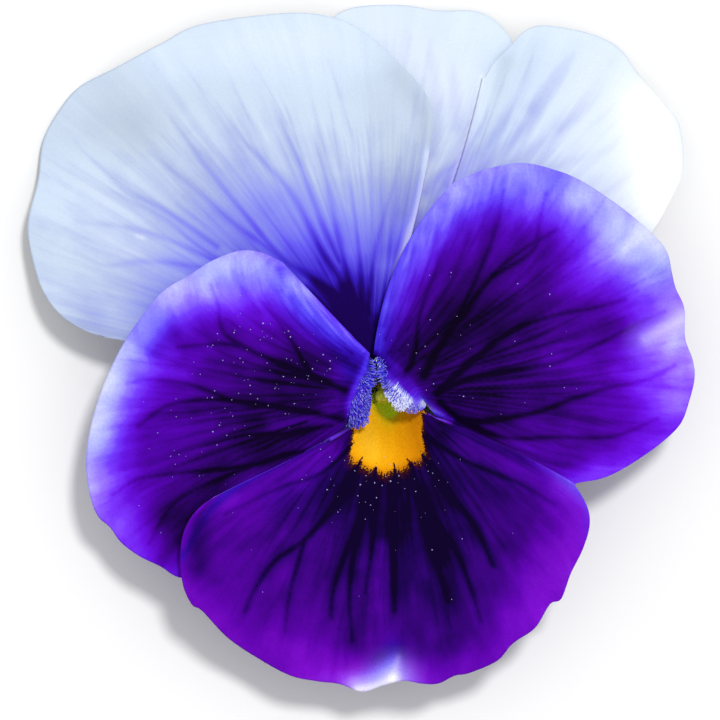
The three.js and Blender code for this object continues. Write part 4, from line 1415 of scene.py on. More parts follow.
@dataclass
class Petal:
    """A petal: its plan, its heights and how its blade is rippled."""

    node: str
    piece: str
    slot: str
    face: Finish
    back: Finish
    paint: Paint
    plan: Fan | PleatedFan
    ring: Pair
    lift: float
    lean: Points
    crest_heights: Sequence[float]
    settles: Sequence[float]
    rank: int
    ripple: Callable[[Array, Array], Array]
    rests: bool = False
    columns: int = 330
    claw_rows: int = 16
    limb_rows: int = 130
    dome: Dome = Dome()
    clearance: float = field(default=0.0, init=False)

    def __post_init__(self) -> None:
        """Makes the curves once, and lets a resting petal down onto the surface."""
        self.lean_at, self.crest_height = Rail(self.lean), dial(self.crest_heights)
        self.settle = dial(self.settles)
        if self.rests:
            u, w = np.meshgrid(np.linspace(0, 1, 241), np.linspace(0, 1, 61))
            self.clearance = float(self.limb(u, w)[..., 2].min()) - 0.5 * BLADE

    def limb(self, u: Array, w: Array) -> Array:
        """Points on the petal's limb, the part that spreads out.

        Args:
            u: places across it.
            w: places along it.

        Returns:
            One row of three numbers for each place.
        """
        x, y, lifted = self.plan.place(u, w)
        spread = (self.dome.at(x, y) + self.rank * RANK_STEP + self.ripple(u, w)
                  - self.clearance * w ** 3)
        z = mix(self.crest_height(u), spread, smooth(w / self.settle(u))) + lifted
        return np.stack([x, y, z], -1)

    def claw(self, u: Array, t: Array) -> Array:
        """Points on the petal's claw, which rises from its foot to its crest.

        Args:
            u: places across it.
            t: places along it.

        Returns:
            One row of three numbers for each place.
        """
        angle = np.radians(mix(*self.ring, u))
        foot = np.stack([AXIS[0] + CLAW_RING * np.cos(angle), AXIS[1] + CLAW_RING * np.sin(angle),
                         np.full_like(angle, CLAW_FOOT)], -1)
        risen = foot + (0, 0, self.lift)
        t = t[..., None]
        return (foot * (1 - t) ** 3 + 3 * risen * t * (1 - t) ** 2
                + 3 * self.lean_at.at(u) * t * t * (1 - t) + self.limb(u, 0 * u) * t ** 3)

    def surface(self, u: Array, v: Array) -> Array:
        """Returns points on the petal, for places across it and from foot to margin."""
        t = np.clip(v / CLAW_SHARE, 0, 1)
        return np.where((v >= CLAW_SHARE)[..., None], self.limb(u, limb_share(v)), self.claw(u, t))

    def build(self) -> bpy.types.Object:
        """Lays a grid on the petal's surface, paints it and gives it its thickness.

        Returns:
            The petal.
        """
        rows = self.claw_rows + self.limb_rows
        piece, u, v = lay_grid(self.piece, self.columns, rows)
        clockwise = self.ring[0] > self.ring[1]
        u = u if clockwise else 1 - u
        row = np.rint(v * rows)
        limb_row = (row - self.claw_rows) / self.limb_rows
        v = np.where(row <= self.claw_rows, CLAW_SHARE * row / self.claw_rows,
                     mix(CLAW_SHARE, 1.0, np.clip(limb_row, 0, 1)))
        points = self.surface(u, v)
        veins = self.paint.lay(self, piece, u, v)
        points[:, 2] -= VEIN_GROOVE * veins
        put(piece, points)
        for finish in (self.face, self.back):
            piece.data.materials.append(finish.material())
        thicken(piece, BLADE, shares=mix(1.0, MARGIN_SHARE, smooth(v)))
        return settle(piece, [self.node])


def waves(u: Array, w: Array, height: float, count: float, power: float = 4, phase: float = 0) -> Array:
    """Returns waves across a petal, of a height in millimetres, that grow towards its margin."""
    return height * w ** power * np.sin(TURN * count * u + phase)


def upper_right_ripple(u: Array, w: Array) -> Array:
    """Returns the rise of the upper right petal's blade over its plain surface."""
    return waves(u, w, 0.2, 7, power=3)


def upper_left_ripple(u: Array, w: Array) -> Array:
    """Rise of the upper left petal's blade over its plain surface.

    Args:
        u: places across the petal.
        w: places along its limb.

    Returns:
        The rise at each place.
    """
    frill = waves(u, w, 0.25, 8) * ease(u, 0.8, 0.6)
    valley = 1.3 * ease(w, 0, 0.7) * bell(u, 0.4, 0.1)
    lapped = 1.3 * ease(u, 0.82, 1) * ease(w, 0.3, 0.8)
    return frill - valley + lapped


def left_ripple(u: Array, w: Array) -> Array:
    """Returns the rise of the left lateral petal's blade over its plain surface."""
    return waves(u, w, 0.35, 5) * ease(u, 0, 0.15) * ease(u, 0.9, 0.75)


def right_ripple(u: Array, w: Array) -> Array:
    """Rise of the right lateral petal's blade over its plain surface.

    Args:
        u: places across the petal.
        w: places along its limb.

    Returns:
        The rise at each place.
    """
    frill = waves(u, w, 0.35, 6, phase=1) * ease(u, 0, 0.15) * ease(u, 0.9, 0.75)
    raised_shoulder = 0.5 * w ** 3 * ease(u, 0.25, 0)
    return frill + raised_shoulder


def lower_ripple(u: Array, w: Array) -> Array:
    """Returns the rise of the lower petal's blade over its plain surface."""
    swell = 0.8 * ease(w, 0.4, 1) * np.sin(TURN * 2 * u + 0.8)
    return waves(u, w, 0.5, 6) + swell


UPPER_RIGHT = Petal(
    "petal_upper_right", "upper_right_petal", "petal_white", Finish.WHITE, Finish.WHITE_BACK,
    UPPER_RIGHT_PAINT, rests=True, ring=(84, 43), lift=1.0, rank=-2, ripple=upper_right_ripple,
    lean=((2.4, -1.0, 7.4), (4.0, -1.9, 7.4)),
    crest_heights=(7.6, 7.6, 7.6), settles=(0.3, 0.3, 0.3),
    plan=PleatedFan(
        fold_foot=(2.9, -0.5), fold_bow=0.06, bow=(0.06, 0, -0.04),
        left_crest=(2.0, 0.1), right_crest=(4.3, -1.0),
        left_margin=((-4.4, 28.0), (-4.2, 32.7), (-2.8, 34.8), (-0.3, 35.9), (4.3, 36.1),
                     (8.3, 35.5), (11.8, 35.5), (13.9, 34.7), (15.4, 33.2), (16.2, 31.6)),
        right_margin=((13.2, 28.4), (14.2, 30.0), (15.8, 31.6), (17.3, 33.2), (19.2, 33.9),
                      (22.9, 33.4), (25.8, 32.5), (27.7, 31.2), (29.3, 28.9), (32.2, 25.5),
                      (33.6, 23.6), (34.1, 20.4), (33.8, 17.8), (32.5, 15.1), (30.7, 12.0),
                      (27.8, 8.9), (24.1, 6.5)),
    ),
)

UPPER_LEFT = Petal(
    "petal_upper_left", "upper_left_petal", "petal_white", Finish.WHITE, Finish.WHITE_BACK,
    UPPER_LEFT_PAINT, rests=True, ring=(146, 100), lift=1.2, rank=-1, ripple=upper_left_ripple,
    lean=((0.6, -1.9, 8.4), (2.0, -1.1, 8.4)),
    crest_heights=(8.9, 8.9, 8.9), settles=(0.3, 0.3, 0.3),
    plan=Fan(
        crest=((-0.7, -1.6), (1.7, 0.1)),
        margin=((-20.5, 0.2), (-24.7, 0.8), (-28.1, 1.4), (-31.3, 3.2), (-33.4, 5.9),
                (-34.6, 9.6), (-35.0, 13.1), (-34.0, 17.5), (-33.5, 21.7), (-31.8, 25.0),
                (-29.6, 27.5), (-25.7, 29.5), (-21.0, 32.0), (-16.8, 34.0), (-7.7, 35.2),
                (-2.8, 34.7), (0.6, 33.0), (4.0, 29.9), (6.7, 26.9), (7.8, 24.0)),
        bow=(-0.06, -0.03, 0, 0.04, 0.06),
    ),
)

LEFT = Petal(
    "petal_lateral_left", "left_petal", "petal_violet", Finish.VIOLET, Finish.VIOLET_BACK,
    LEFT_PAINT, ring=(166, 226), lift=4.5, rank=0, ripple=left_ripple,
    lean=((0.6, -2.7, 11.2), (1.4, -3.6, 12.3), (1.5, -7.2, 12.3), (1.2, -9.8, 12.3)),
    crest_heights=(10.9, 11.9, 12.0, 11.2, 9.4), settles=(0.25, 0.25, 0.25, 0.3, 0.6),
    plan=Fan(
        crest=((0.9, -0.7), (0.2, -3.0), (-0.8, -5.1), (-1.1, -6.9), (-1.3, -7.7)),
        margin=((-8.1, 8.8), (-10.3, 9.8), (-12.6, 10.0), (-15.4, 9.0), (-18.1, 7.3),
                (-20.7, 5.7), (-22.8, 3.2), (-25.0, -0.1), (-27.0, -4.4), (-28.2, -8.2),
                (-28.7, -11.4), (-28.6, -14.0), (-28.1, -16.4), (-27.4, -17.9),
                (-26.2, -19.0), (-25.0, -20.6), (-23.1, -22.0), (-21.0, -23.0),
                (-18.9, -24.2), (-16.0, -24.0), (-13.1, -22.4)),
        bow=(0, 0, 0, 0, -0.08),
    ),
)

RIGHT = Petal(
    "petal_lateral_right", "right_petal", "petal_violet", Finish.VIOLET, Finish.VIOLET_BACK,
    RIGHT_PAINT, ring=(22, -39), lift=5.4, rank=0, ripple=right_ripple,
    lean=((3.6, -2.3, 11.4), (1.2, -5.0, 12.3), (3.6, -8.4, 12.4), (7.0, -8.4, 11.8)),
    crest_heights=(10.9, 11.9, 12.2, 11.4, 9.6), settles=(0.25, 0.25, 0.25, 0.3, 0.6),
    plan=Fan(
        crest=((1.5, -0.7), (3.4, -2.0), (5.3, -3.9), (6.3, -5.0), (6.8, -5.6)),
        margin=((9.7, 17.1), (13.0, 18.5), (16.9, 19.2), (20.7, 18.4), (23.1, 17.4),
                (25.5, 15.9), (28.1, 14.0), (30.7, 11.8), (32.2, 9.9), (32.7, 7.8),
                (33.1, 6.1), (34.0, 4.0), (34.1, 0.9), (34.9, -1.4), (35.1, -3.3),
                (34.5, -5.8), (33.6, -8.1), (31.6, -10.1), (29.2, -11.8), (26.8, -13.2),
                (25.0, -13.9), (22.4, -14.4), (19.4, -15.6)),
        bow=(-0.18, -0.06, 0, 0, 0.15),
    ),
)

LOWER = Petal(
    "petal_lower", "lower_petal", "petal_deep_violet", Finish.DEEP_VIOLET, Finish.VIOLET_BACK,
    LOWER_PAINT, ring=(241, 295), lift=1.0, rank=1, ripple=lower_ripple,
    lean=((0.2, -6.4, 7.6), (2.7, -5.4, 6.9), (5.6, -5.9, 7.6)),
    crest_heights=(9.6, 8.2, 7.2, 8.2, 9.6), settles=(0.17, 0.28, 0.32, 0.28, 0.17),
    plan=Fan(
        crest=((-0.7, -8.5), (0.6, -6.9), (2.7, -5.5), (4.9, -6.2), (7.0, -7.1)),
        margin=((-15.2, -15.8), (-17.2, -17.3), (-18.4, -19.4), (-18.8, -22.0),
                (-18.5, -25.0), (-17.6, -27.0), (-16.5, -27.7), (-13.9, -30.5),
                (-10.7, -32.7), (-7.3, -34.5), (-4.4, -35.1), (-2.1, -35.4), (0.2, -36.2),
                (2.5, -35.5), (4.6, -35.0), (6.4, -35.3), (8.2, -35.3), (9.9, -34.5),
                (11.5, -34.2), (14.4, -32.9), (16.0, -31.1), (18.3, -29.5), (19.9, -27.0),
                (21.1, -26.4), (22.1, -23.7), (23.3, -21.2), (24.0, -18.7), (23.7, -16.6),
                (22.3, -14.3)),
        bow=(0, 0, 0, 0, -0.05),
    ),
)

PETALS = (UPPER_RIGHT, UPPER_LEFT, LEFT, RIGHT, LOWER)


# ---- hairs and pollen ---------------------------------------------------------------------


def prototype(add_shape: Callable[[], object]) -> tuple[Array, list[tuple[int, ...]]]:
    """Takes the corners and faces of a shape that is then copied many times.

    Args:
        add_shape: adds the shape with bpy.ops.

    Returns:
        Its corners, and the corners of each face.
    """
    bpy.ops.object.select_all(action="DESELECT")
    add_shape()
    shape = bpy.context.object
    corners = np.array([v.co for v in shape.data.vertices])
    faces = [tuple(face.vertices) for face in shape.data.polygons]
    bpy.data.objects.remove(shape)
    return corners, faces


def copied(name: str, copies: Sequence[Array], faces: Sequence[tuple[int, ...]]) -> bpy.types.Object:
    """Makes one piece of many copies.

    Args:
        name: the piece's name.
        copies: the corners of each copy, in millimetres.
        faces: the faces of one copy.

    Returns:
        The piece.
    """
    count = len(copies[0])
    mesh = bpy.data.meshes.new(name)
    all_faces = [tuple(i + count * k for i in face) for k in range(len(copies)) for face in faces]
    mesh.from_pydata((np.vstack(copies) * MM).tolist(), [], all_faces)
    piece = bpy.data.objects.new(name, mesh)
    bpy.context.scene.collection.objects.link(piece)
    bpy.ops.object.select_all(action="DESELECT")
    return piece


@dataclass
class Beard:
    """Club-shaped hairs on the lip of a lateral petal, beside the throat.

    The profile of a hair is its radius at shares of its length. The skin's slope under a hair is
    measured to places that are near it, across and along.
    """

    petal: Petal
    piece: str
    count: int
    across: Pair
    along: Pair
    lengths: Pair
    lean: Sequence[float]
    white: float
    seed: int
    profile: Points = ((0, 0.034), (0.3, 0.0272), (0.6, 0.034), (0.78, 0.0425), (0.9, 0.05),
                       (0.97, 0.035), (1, 0.01))
    sides: int = 6
    stray: float = 0.2
    bend: float = 0.2
    colour_spread: float = 0.25
    root: float = 0.4 * BLADE
    near: Pair = (0.01, 0.004)

    def rod(self) -> None:
        """Adds a rod of height and radius 1, cut into rings at the heights of the profile."""
        bpy.ops.mesh.primitive_cylinder_add(vertices=self.sides, radius=1, depth=1, location=(0, 0, 0.5))
        bpy.ops.object.transform_apply(location=True)
        bpy.ops.object.mode_set(mode="EDIT")
        bpy.ops.mesh.select_all(action="SELECT")
        for height, _ in self.profile[1:-1]:
            bpy.ops.mesh.bisect(plane_co=(0, 0, height), plane_no=(0, 0, 1))
            bpy.ops.mesh.select_all(action="SELECT")
        bpy.ops.object.mode_set(mode="OBJECT")

    def hair(self) -> tuple[Array, list[tuple[int, ...]]]:
        """Shapes one hair, 1 long, which stands on the origin and swells towards its tip.

        Returns:
            Its corners, and the corners of each face.
        """
        corners, faces = prototype(self.rod)
        heights, radii = zip(*self.profile)
        corners[:, :2] *= np.interp(corners[:, 2], heights, radii)[:, None]
        return corners, faces

    def build(self) -> bpy.types.Object:
        """Seats the hairs in the petal's skin, at random places that the seed settles.

        Returns:
            All the hairs as one piece.
        """
        draw = random.Random(self.seed)
        corners, faces = self.hair()
        copies, tips, blues = [], [], []
        for _ in range(self.count):
            u = draw.uniform(*self.across)
            v = draw.uniform(*self.along)
            beside, beyond = min(u + self.near[0], 1), v + self.near[1]
            at, right, out = (self.petal.surface(np.array([a]), np.array([b]))[0]
                              for a, b in ((u, v), (beside, v), (u, beyond)))
            normal = np.cross(right - at, out - at)
            normal *= np.sign(normal[2]) / max(np.linalg.norm(normal), 1e-9)
            stray = [draw.uniform(-self.stray, self.stray) for _ in range(3)]
            aim = Vector(normal) + Vector(self.lean) + Vector(stray)
            turn = aim.to_track_quat("Z", "Y").to_matrix()
            length = draw.uniform(*self.lengths)
            bend = self.bend * length * draw.uniform(-1, 1)
            local = corners * (1, 1, length)
            local[:, 0] += bend * corners[:, 2] ** 2
            copies.append(local @ np.array(turn).T + at + self.root * normal)
            tips.append(corners[:, 2])
            blue = 1 - self.white + draw.uniform(-self.colour_spread, self.colour_spread)
            blues.append(np.full(len(corners), np.clip(blue, 0, 1)))
        piece = copied(self.piece, copies, faces)
        note(piece, "along", np.concatenate(tips))
        note(piece, "blue", np.concatenate(blues))
        piece.data.materials.append(Finish.HAIR.material())
        return settle(piece)


@dataclass(frozen=True)
class Dusting:
    """Where pollen lies on a petal, how many grains there are and how large they are."""

    petal: Petal
    across: Pair
    along: Pair
    count: int
    radii: Pair = (0.03, 0.085)


@dataclass
class Pollen:
    """Grains and clumps of pollen strewn over the petals."""

    dustings: Sequence[Dusting]
    seed: int = 5
    uneven: Pair = (0.8, 1.2)
    raised: float = 0.6

    def build(self) -> bpy.types.Object:
        """Strews the grains, each resting on its petal's skin.

        Returns:
            All the grains as one piece.
        """
        draw = random.Random(self.seed)
        corners, faces = prototype(
            lambda: bpy.ops.mesh.primitive_ico_sphere_add(subdivisions=1, radius=1))
        copies = []
        for dusting in self.dustings:
            for _ in range(dusting.count):
                u, w = draw.uniform(*dusting.across), draw.uniform(*dusting.along)
                at = dusting.petal.limb(np.array([u]), np.array([w]))[0]
                radius = mix(*dusting.radii, draw.random() ** 2)
                stretch = [radius * draw.uniform(*self.uneven) for _ in range(3)]
                blade = 0.5 * BLADE * mix(1.0, MARGIN_SHARE, float(smooth(mix(CLAW_SHARE, 1, w))))
                copies.append(corners * stretch + at + (0, 0, blade + self.raised * radius))
        piece = copied("pollen", copies, faces)
        piece.data.materials.append(Finish.POLLEN.material())
        return settle(piece)


# ---- sepals, spur, stalk, stamens and pistil ----------------------------------------------


@dataclass
class Sepal:
    """A sepal: a pointed green leaf with a toothed auricle that hangs beside the stalk.

    Its profile and half widths run from the auricle's end to the tip. A reach is where on that
    way something starts, and where it is full.
    """

    name: str
    bearing: float
    half_widths: Sequence[float] = (0.7, 1.15, 1.1, 2.2, 2.6, 2.3, 1.45, 0.2)
    profile: Points = ((3.4, 0, 2.6), (2.9, 0, 4.525), (3.4, 0, 6.1), (7.9, 0, 6.88), (17.9, 0, 7.4))
    blade: float = 0.45
    edge_share: float = 0.5
    leaf_reach: Pair = (0.25, 0.45)
    tooth: float = 0.14
    teeth: int = 9
    teeth_reach: Pair = (0.24, 0.16)
    fringe: float = 0.012
    fringe_teeth: int = 34
    fringe_reach: Pair = (0.3, 0.5)
    groove: float = 0.16
    groove_width: float = 0.3
    nerve: float = 0.05
    nerves: int = 3
    arch: float = 0.05
    pale_edge: Pair = (0.82, 1.0)
    midrib_width: float = 0.13
    side_nerves: Sequence[Pair] = ((0.36, 0.05), (0.66, 0.04))
    side_nerve_paleness: float = 0.45
    side_nerve_reach: Pair = (1.0, 0.7)

    def build(self) -> bpy.types.Object:
        """Lays a grid on the sepal's middle line, toothed at its edges and grooved along it.

        Returns:
            The sepal.
        """
        piece, u, v = lay_grid(self.name.replace("sepal", "green_sepal"), columns=40, rows=120)
        middle = Rail(self.profile).along(v)
        spread, on_leaf = np.abs(2 * u - 1), ease(v, *self.leaf_reach)
        teeth = -self.tooth * np.sin(TURN * self.teeth * v) * ease(v, *self.teeth_reach)
        fringe = self.fringe * np.sin(TURN * self.fringe_teeth * v) * ease(v, *self.fringe_reach)
        side = (1 - 2 * u) * dial(self.half_widths)(v) * (1 + (teeth + fringe) * spread ** 3)
        groove = self.groove * bell(side, 0, self.groove_width) * on_leaf
        nerves = self.nerve * np.cos(TURN * self.nerves * spread) * on_leaf * (1 - v)
        turn = math.radians(self.bearing)
        put(piece, np.stack([
            AXIS[0] + middle[:, 0] * math.cos(turn) - side * math.sin(turn),
            AXIS[1] + middle[:, 0] * math.sin(turn) + side * math.cos(turn),
            middle[:, 2] - self.arch * side * side - groove + nerves], -1))
        note(piece, "along", v)
        side_nerves = sum(bell(spread, place, width) for place, width in self.side_nerves)
        pale = (ease(spread, *self.pale_edge) + bell(side, 0, self.midrib_width)
                + self.side_nerve_paleness * side_nerves * ease(v, *self.side_nerve_reach))
        note(piece, "pale", np.clip(pale, 0, 1))
        piece.data.materials.append(Finish.SEPAL.material())
        thicken(piece, self.blade, shares=mix(1.0, self.edge_share, spread ** 2))
        return settle(piece, [self.name])


@dataclass
class Spur:
    """The lower petal's hollow spur, which reaches back below the face."""

    tube: Tube = Tube(path=((2.8, -6.1, 7.7), (2.85, -8.25, 6.0), (2.9, -10.4, 4.3)),
                      profile=((1.2, 1.0), (1.7, 1.25), (2.6, 1.55), (4.2, 1.75), (5.4, 1.72),
                               (6.4, 1.42), (7.0, 0.8), (7.2, 0.0)))
    wall: float = 0.3

    def build(self) -> bpy.types.Object:
        """Makes the spur, open at its mouth.

        Returns:
            The spur.
        """
        piece = self.tube.build("nectar_spur", sides=40, rings=48)
        piece.data.materials.append(Finish.SPUR.material())
        thicken(piece, self.wall, offset=-1)
        return settle(piece, ["petal_lower"])


@dataclass
class Stalk:
    """The receptacle and the hooked stalk, lying down, with two small bracts."""

    stem: Tube = Tube(
        path=((2.4, -3.2, 4.9), (2.4, -3.25, 3.3), (2.4, -3.7, 2.1), (2.4, -5.0, 1.15),
              (2.4, -7.2, 0.93), (2.25, -12, 0.93), (2.3, -17, 0.93), (2.5, -22, 0.93),
              (2.4, -27.15, 0.93)),
        profile=((0, 0), (0.02, 0.88), (1, 0.9), (6, 0.92), (14, 0.92), (22, 0.92), (28.3, 0.92),
                 (28.42, 0.86), (28.4, 0.6), (28.25, 0.3), (28.2, 0)),
        ridges=6, ridge_share=0.06)
    cup: Tube = Tube(
        path=((2.4, -3.2, 4.2), (2.4, -3.2, 4.9), (2.4, -3.2, 5.6)),
        profile=((0, 0), (0, 1.2), (0.25, 1.85), (0.7, 2.2), (1.1, 2.3), (1.32, 2.24),
                 (1.4, 1.9), (1.4, 1.0), (1.4, 0)),
        ridges=5, ridge_share=0.05)
    bract_half_widths: Sequence[float] = (0.5, 0.62, 0.5, 0.28, 0.04)
    bract_path: Points = ((0.75, 0, 1.2), (1.35, -0.9, 1.7), (1.7, -2.2, 1.75), (1.75, -3.4, 1.5))
    bract_slope: Pair = (0.7, 0.6)
    bract_blade: float = 0.22
    bracts: Sequence[tuple[float, int]] = ((-9.2, 1), (-10.8, -1))

    def bract(self, start: float, side: int) -> bpy.types.Object:
        """Makes a small narrow bract beside the stalk.

        Args:
            start: where along the stalk it grows.
            side: 1 for the right of the stalk, -1 for the left.

        Returns:
            The bract.
        """
        piece, u, v = lay_grid("bract", columns=8, rows=24)
        across = (1 - 2 * u) * dial(self.bract_half_widths)(v)
        reach = Rail(self.bract_path).along(v)
        out, down = self.bract_slope
        put(piece, np.stack([AXIS[0] + side * (reach[:, 0] + out * across),
                             start + reach[:, 1], reach[:, 2] - down * across], -1))
        note(piece, "along", mix(0.6, 1.0, v))
        thicken(piece, self.bract_blade)
        return piece

    def build(self) -> bpy.types.Object:
        """Makes the stalk, its receptacle and its bracts.

        Returns:
            The stalk with all of them.
        """
        parts = [self.stem.build("stalk_and_cup", sides=48, rings=220),
                 self.cup.build("cup", sides=60, rings=40)]
        parts += [self.bract(start, side) for start, side in self.bracts]
        return settle(join(parts, Finish.STALK.material()), ["stalk"])


@dataclass
class Stamens:
    """Five stamens close round the ovary, each with two pollen sacs and a membranous tip.

    A sac swells from the foot and ends below the tip, which leans in and thins out.
    """

    count: int = 5
    ring: float = 1.0
    foot: float = 5.9
    height: float = 2.1
    blade: float = 0.3
    half_widths: Sequence[float] = (0.3, 0.46, 0.5, 0.48, 0.42, 0.3, 0.1)
    sac: float = 0.13
    sac_swells: Pair = (0.0, 0.1)
    sac_ends: Pair = (0.67, 0.55)
    tip_lean: float = 0.5
    tip_leans: Pair = (0.6, 1.0)
    tip_share: float = 0.4
    tip_thins: Pair = (0.5, 0.8)

    def one(self, index: int) -> bpy.types.Object:
        """Makes one stamen.

        Args:
            index: which of the five.

        Returns:
            The stamen.
        """
        piece, u, v = lay_grid(f"anther_{index + 1}", columns=28, rows=44)
        bearing = math.radians(90 + 360 * index / self.count)
        sac_reach = ease(v, *self.sac_swells) * ease(v, *self.sac_ends)
        sacs = self.sac * np.cos(2 * TURN * (u - 0.5) + math.pi) * sac_reach
        radius = self.ring + sacs - self.tip_lean * ease(v, *self.tip_leans)
        angle = bearing - (u - 0.5) * 2 * dial(self.half_widths)(v) / self.ring
        put(piece, np.stack([AXIS[0] + radius * np.cos(angle), AXIS[1] + radius * np.sin(angle),
                             self.foot + v * self.height], -1))
        note(piece, "along", v)
        thicken(piece, self.blade, shares=mix(1.0, self.tip_share, ease(v, *self.tip_thins)))
        piece.data.materials.append(Finish.ANTHER.material())
        return settle(piece, [f"stamen_{index + 1}"])

    def build(self) -> None:
        """Builds the five stamens."""
        for index in range(self.count):
            self.one(index)


@dataclass
class Pistil:
    """Ovary, bent style, and the stigma: a hollow globe with its opening and lip below.

    The mouth, the lip and the waist are each given by an angle in degrees from the middle of the
    mouth, and by how far the globe dents or swells there, as a share of its radius.
    """

    stem: Tube = Tube(
        path=((2.4, -3.2, 5.9), (2.4, -3.2, 7.0), (2.4, -3.3, 8.1), (2.38, -3.9, 8.8), (2.35, -5.2, 8.85)),
        profile=((0, 0), (0.02, 0.36), (0.5, 0.5), (1.0, 0.42), (1.4, 0.24), (2.2, 0.2),
                 (3.2, 0.24), (4.0, 0.3), (4.2, 0.0)))
    head: tuple[float, float, float] = (2.35, -5.2, 8.85)
    head_share: tuple[float, float, float] = (1.0, 0.95, 0.9)
    radius: float = 0.82
    looks_along: tuple[float, float, float] = (0.0, -0.94, 0.34)
    mouth: Pair = (17, -0.55)
    mouth_edge: float = 5
    lip: Pair = (27, 0.07)
    lip_width: float = 8
    waist: Pair = (90, -0.04)
    waist_width: float = 40

    def stigma(self) -> bpy.types.Object:
        """Makes the globe, dented to its opening towards the lower petal, with a lip round it.

        Returns:
            The globe.
        """
        bpy.ops.object.select_all(action="DESELECT")
        bpy.ops.mesh.primitive_uv_sphere_add(segments=64, ring_count=40, radius=1)
        piece = bpy.context.object
        corners = np.array([v.co for v in piece.data.vertices])
        off = np.degrees(np.arccos(np.clip(corners @ np.array(self.looks_along), -1, 1)))
        hollow = fade(off, self.mouth[0], self.mouth_edge)
        swell = (1 + self.mouth[1] * hollow + self.lip[1] * bell(off, self.lip[0], self.lip_width)
                 + self.waist[1] * bell(off, self.waist[0], self.waist_width))
        corners *= swell[:, None] * self.radius
        put(piece, corners * self.head_share + self.head)
        note(piece, "along", np.ones_like(off))
        # Painted shade: the hollow is coloured dark olive, as its recess is shaded.
        note(piece, "hollow", hollow)
        return piece

    def build(self) -> bpy.types.Object:
        """Makes the ovary, the style and the stigma.

        Returns:
            The pistil.
        """
        stem = self.stem.build("pistil_and_stigma", sides=24, rings=70)
        note(stem, "hollow", np.zeros(len(stem.data.vertices)))
        pistil = join([stem, self.stigma()], Finish.STIGMA.material())
        return settle(pistil, ["pistil"])


# ---- the stage ----------------------------------------------------------------------------


@dataclass
class Stage:
    """Floor, lights and camera."""

    floor_size: float = 4000.0
    floor_colour: str = "F2F2F2"
    room: float = 0.7
    sun: float = 1.72
    sun_width: float = 9.0
    sun_aim: tuple[float, float, float] = (-0.22, -0.35, -1)
    camera_height: float = 1008.0
    view_centre: Pair = (0.0, -1.42)
    view_width: float = 75.6
    view_level: float = 8.0
    sensor: float = 36.0

    def floor(self) -> None:
        """Lays the plain floor: matt white paper, which takes a soft shadow and has no gloss."""
        bpy.ops.object.select_all(action="DESELECT")
        bpy.ops.mesh.primitive_plane_add(size=self.floor_size * MM)
        plane = bpy.context.object
        plane.name = "floor"
        material = bpy.data.materials.new("white paper")
        material.use_nodes = True
        shader = material.node_tree.nodes["Principled BSDF"]
        shader.inputs["Base Color"].default_value = linear(self.floor_colour)
        shader.inputs["Roughness"].default_value = 0.9
        shader.inputs["Specular IOR Level"].default_value = 0.1
        plane.data.materials.append(material)

    def lights(self) -> None:
        """Hangs a soft key high to the upper right, in a bright even room."""
        world = bpy.data.worlds.new("room")
        bpy.context.scene.world = world
        world.use_nodes = True
        background = world.node_tree.nodes["Background"]
        background.inputs["Color"].default_value = linear("FFFFFF")
        background.inputs["Strength"].default_value = self.room
        bpy.ops.object.light_add(type="SUN", location=(0.3, 0.3, 1.0))
        key = bpy.context.object
        key.name = "key"
        key.data.energy = self.sun
        key.data.angle = math.radians(self.sun_width)
        key.rotation_mode = "QUATERNION"
        key.rotation_quaternion = Vector(self.sun_aim).to_track_quat("-Z", "Y")

    def camera(self) -> None:
        """Stands the camera straight over the face, far off with a long lens."""
        bpy.ops.object.camera_add(location=Vector((*self.view_centre, self.camera_height)) * MM)
        camera = bpy.context.object
        camera.rotation_euler = (0, 0, 0)
        camera.data.sensor_width = self.sensor
        camera.data.lens = self.sensor * (self.camera_height - self.view_level) / self.view_width
        bpy.context.scene.camera = camera

    def build(self) -> None:
        """Builds the floor, the lights and the camera."""
        self.floor()
        self.lights()
        self.camera()


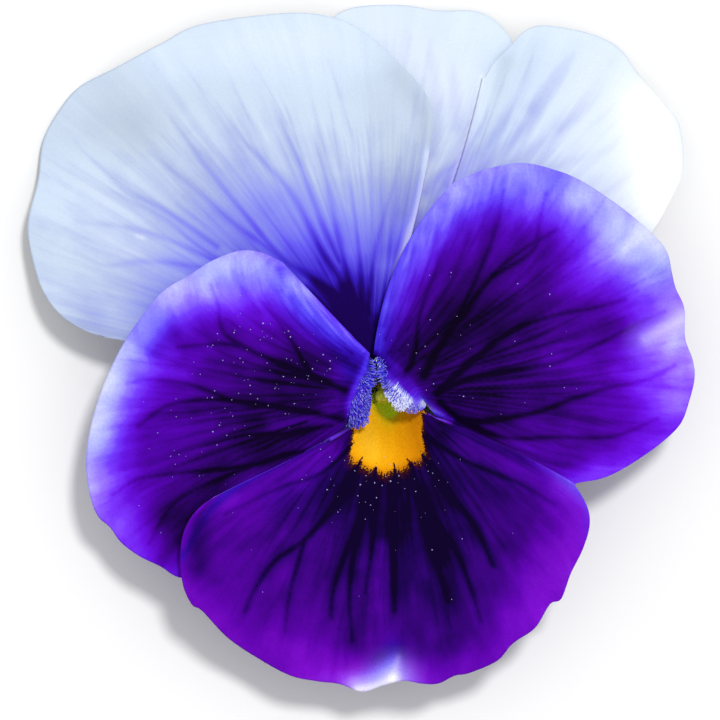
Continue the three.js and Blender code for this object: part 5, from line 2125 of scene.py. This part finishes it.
BEARDS = (
    Beard(LEFT, "left_beard", 520, (0.25, 1.0), (0.14, 0.219), (0.35, 0.65),
          lean=(0.5, -0.8, -0.1), white=0.18, seed=21),
    Beard(LEFT, "left_upper_beard", 200, (0.0, 0.4), (0.12, 0.215), (0.5, 0.95),
          lean=(1.0, -0.5, -0.1), white=0.12, seed=22),
    Beard(RIGHT, "right_beard", 420, (0.0, 0.55), (0.1, 0.195), (0.4, 0.75),
          lean=(-0.7, -0.7, 0.0), white=0.2, seed=23),
    Beard(RIGHT, "right_upper_beard", 130, (0.0, 0.3), (0.1, 0.195), (0.7, 1.1),
          lean=(-1.2, -0.7, -0.1), white=0.1, seed=27),
    Beard(RIGHT, "right_tuft", 480, (0.4, 0.66), (0.12, 0.205), (0.5, 0.85),
          lean=(-0.75, -1.5, -0.35), white=1.0, seed=24),
    Beard(RIGHT, "right_tuft_edge", 170, (0.64, 0.88), (0.12, 0.2), (0.25, 0.5),
          lean=(-0.5, -0.8, 0.0), white=0.4, seed=25),
    Beard(RIGHT, "crest_hairs", 9, (0.0, 0.05), (0.19, 0.215), (0.8, 1.1),
          lean=(-0.9, -1.6, 0.0), white=1.2, seed=26),
)

# The last two of these are clumps, under the eye and on the left lateral petal's crest.
POLLEN = Pollen((
    Dusting(LEFT, (0.2, 0.65), (0.12, 0.7), 90),
    Dusting(LEFT, (0.1, 0.9), (0.2, 0.9), 26),
    Dusting(RIGHT, (0.0, 0.8), (0.03, 0.6), 30),
    Dusting(LOWER, (0.2, 0.75), (0.2, 0.45), 44),
    Dusting(LOWER, (0.05, 0.95), (0.2, 0.9), 16),
    Dusting(LOWER, (0.4, 0.6), (0.24, 0.3), 5, radii=(0.08, 0.11)),
    Dusting(LEFT, (0.75, 0.95), (0.0, 0.012), 6, radii=(0.07, 0.1)),
))


def main() -> None:
    """Builds the stage and the bloom."""
    logging.basicConfig(level=logging.INFO, format="%(message)s")
    bpy.ops.object.select_all(action="DESELECT")
    bpy.context.scene.view_settings.view_transform = "Standard"
    Stage().build()
    sepals = [Sepal(name, bearing) for name, bearing in SEPAL_BEARINGS.items()]
    for piece in (*PETALS, *BEARDS, POLLEN, *sepals, Spur(), Stalk(), Stamens(), Pistil()):
        piece.build()


if __name__ == "__main__":
    main()
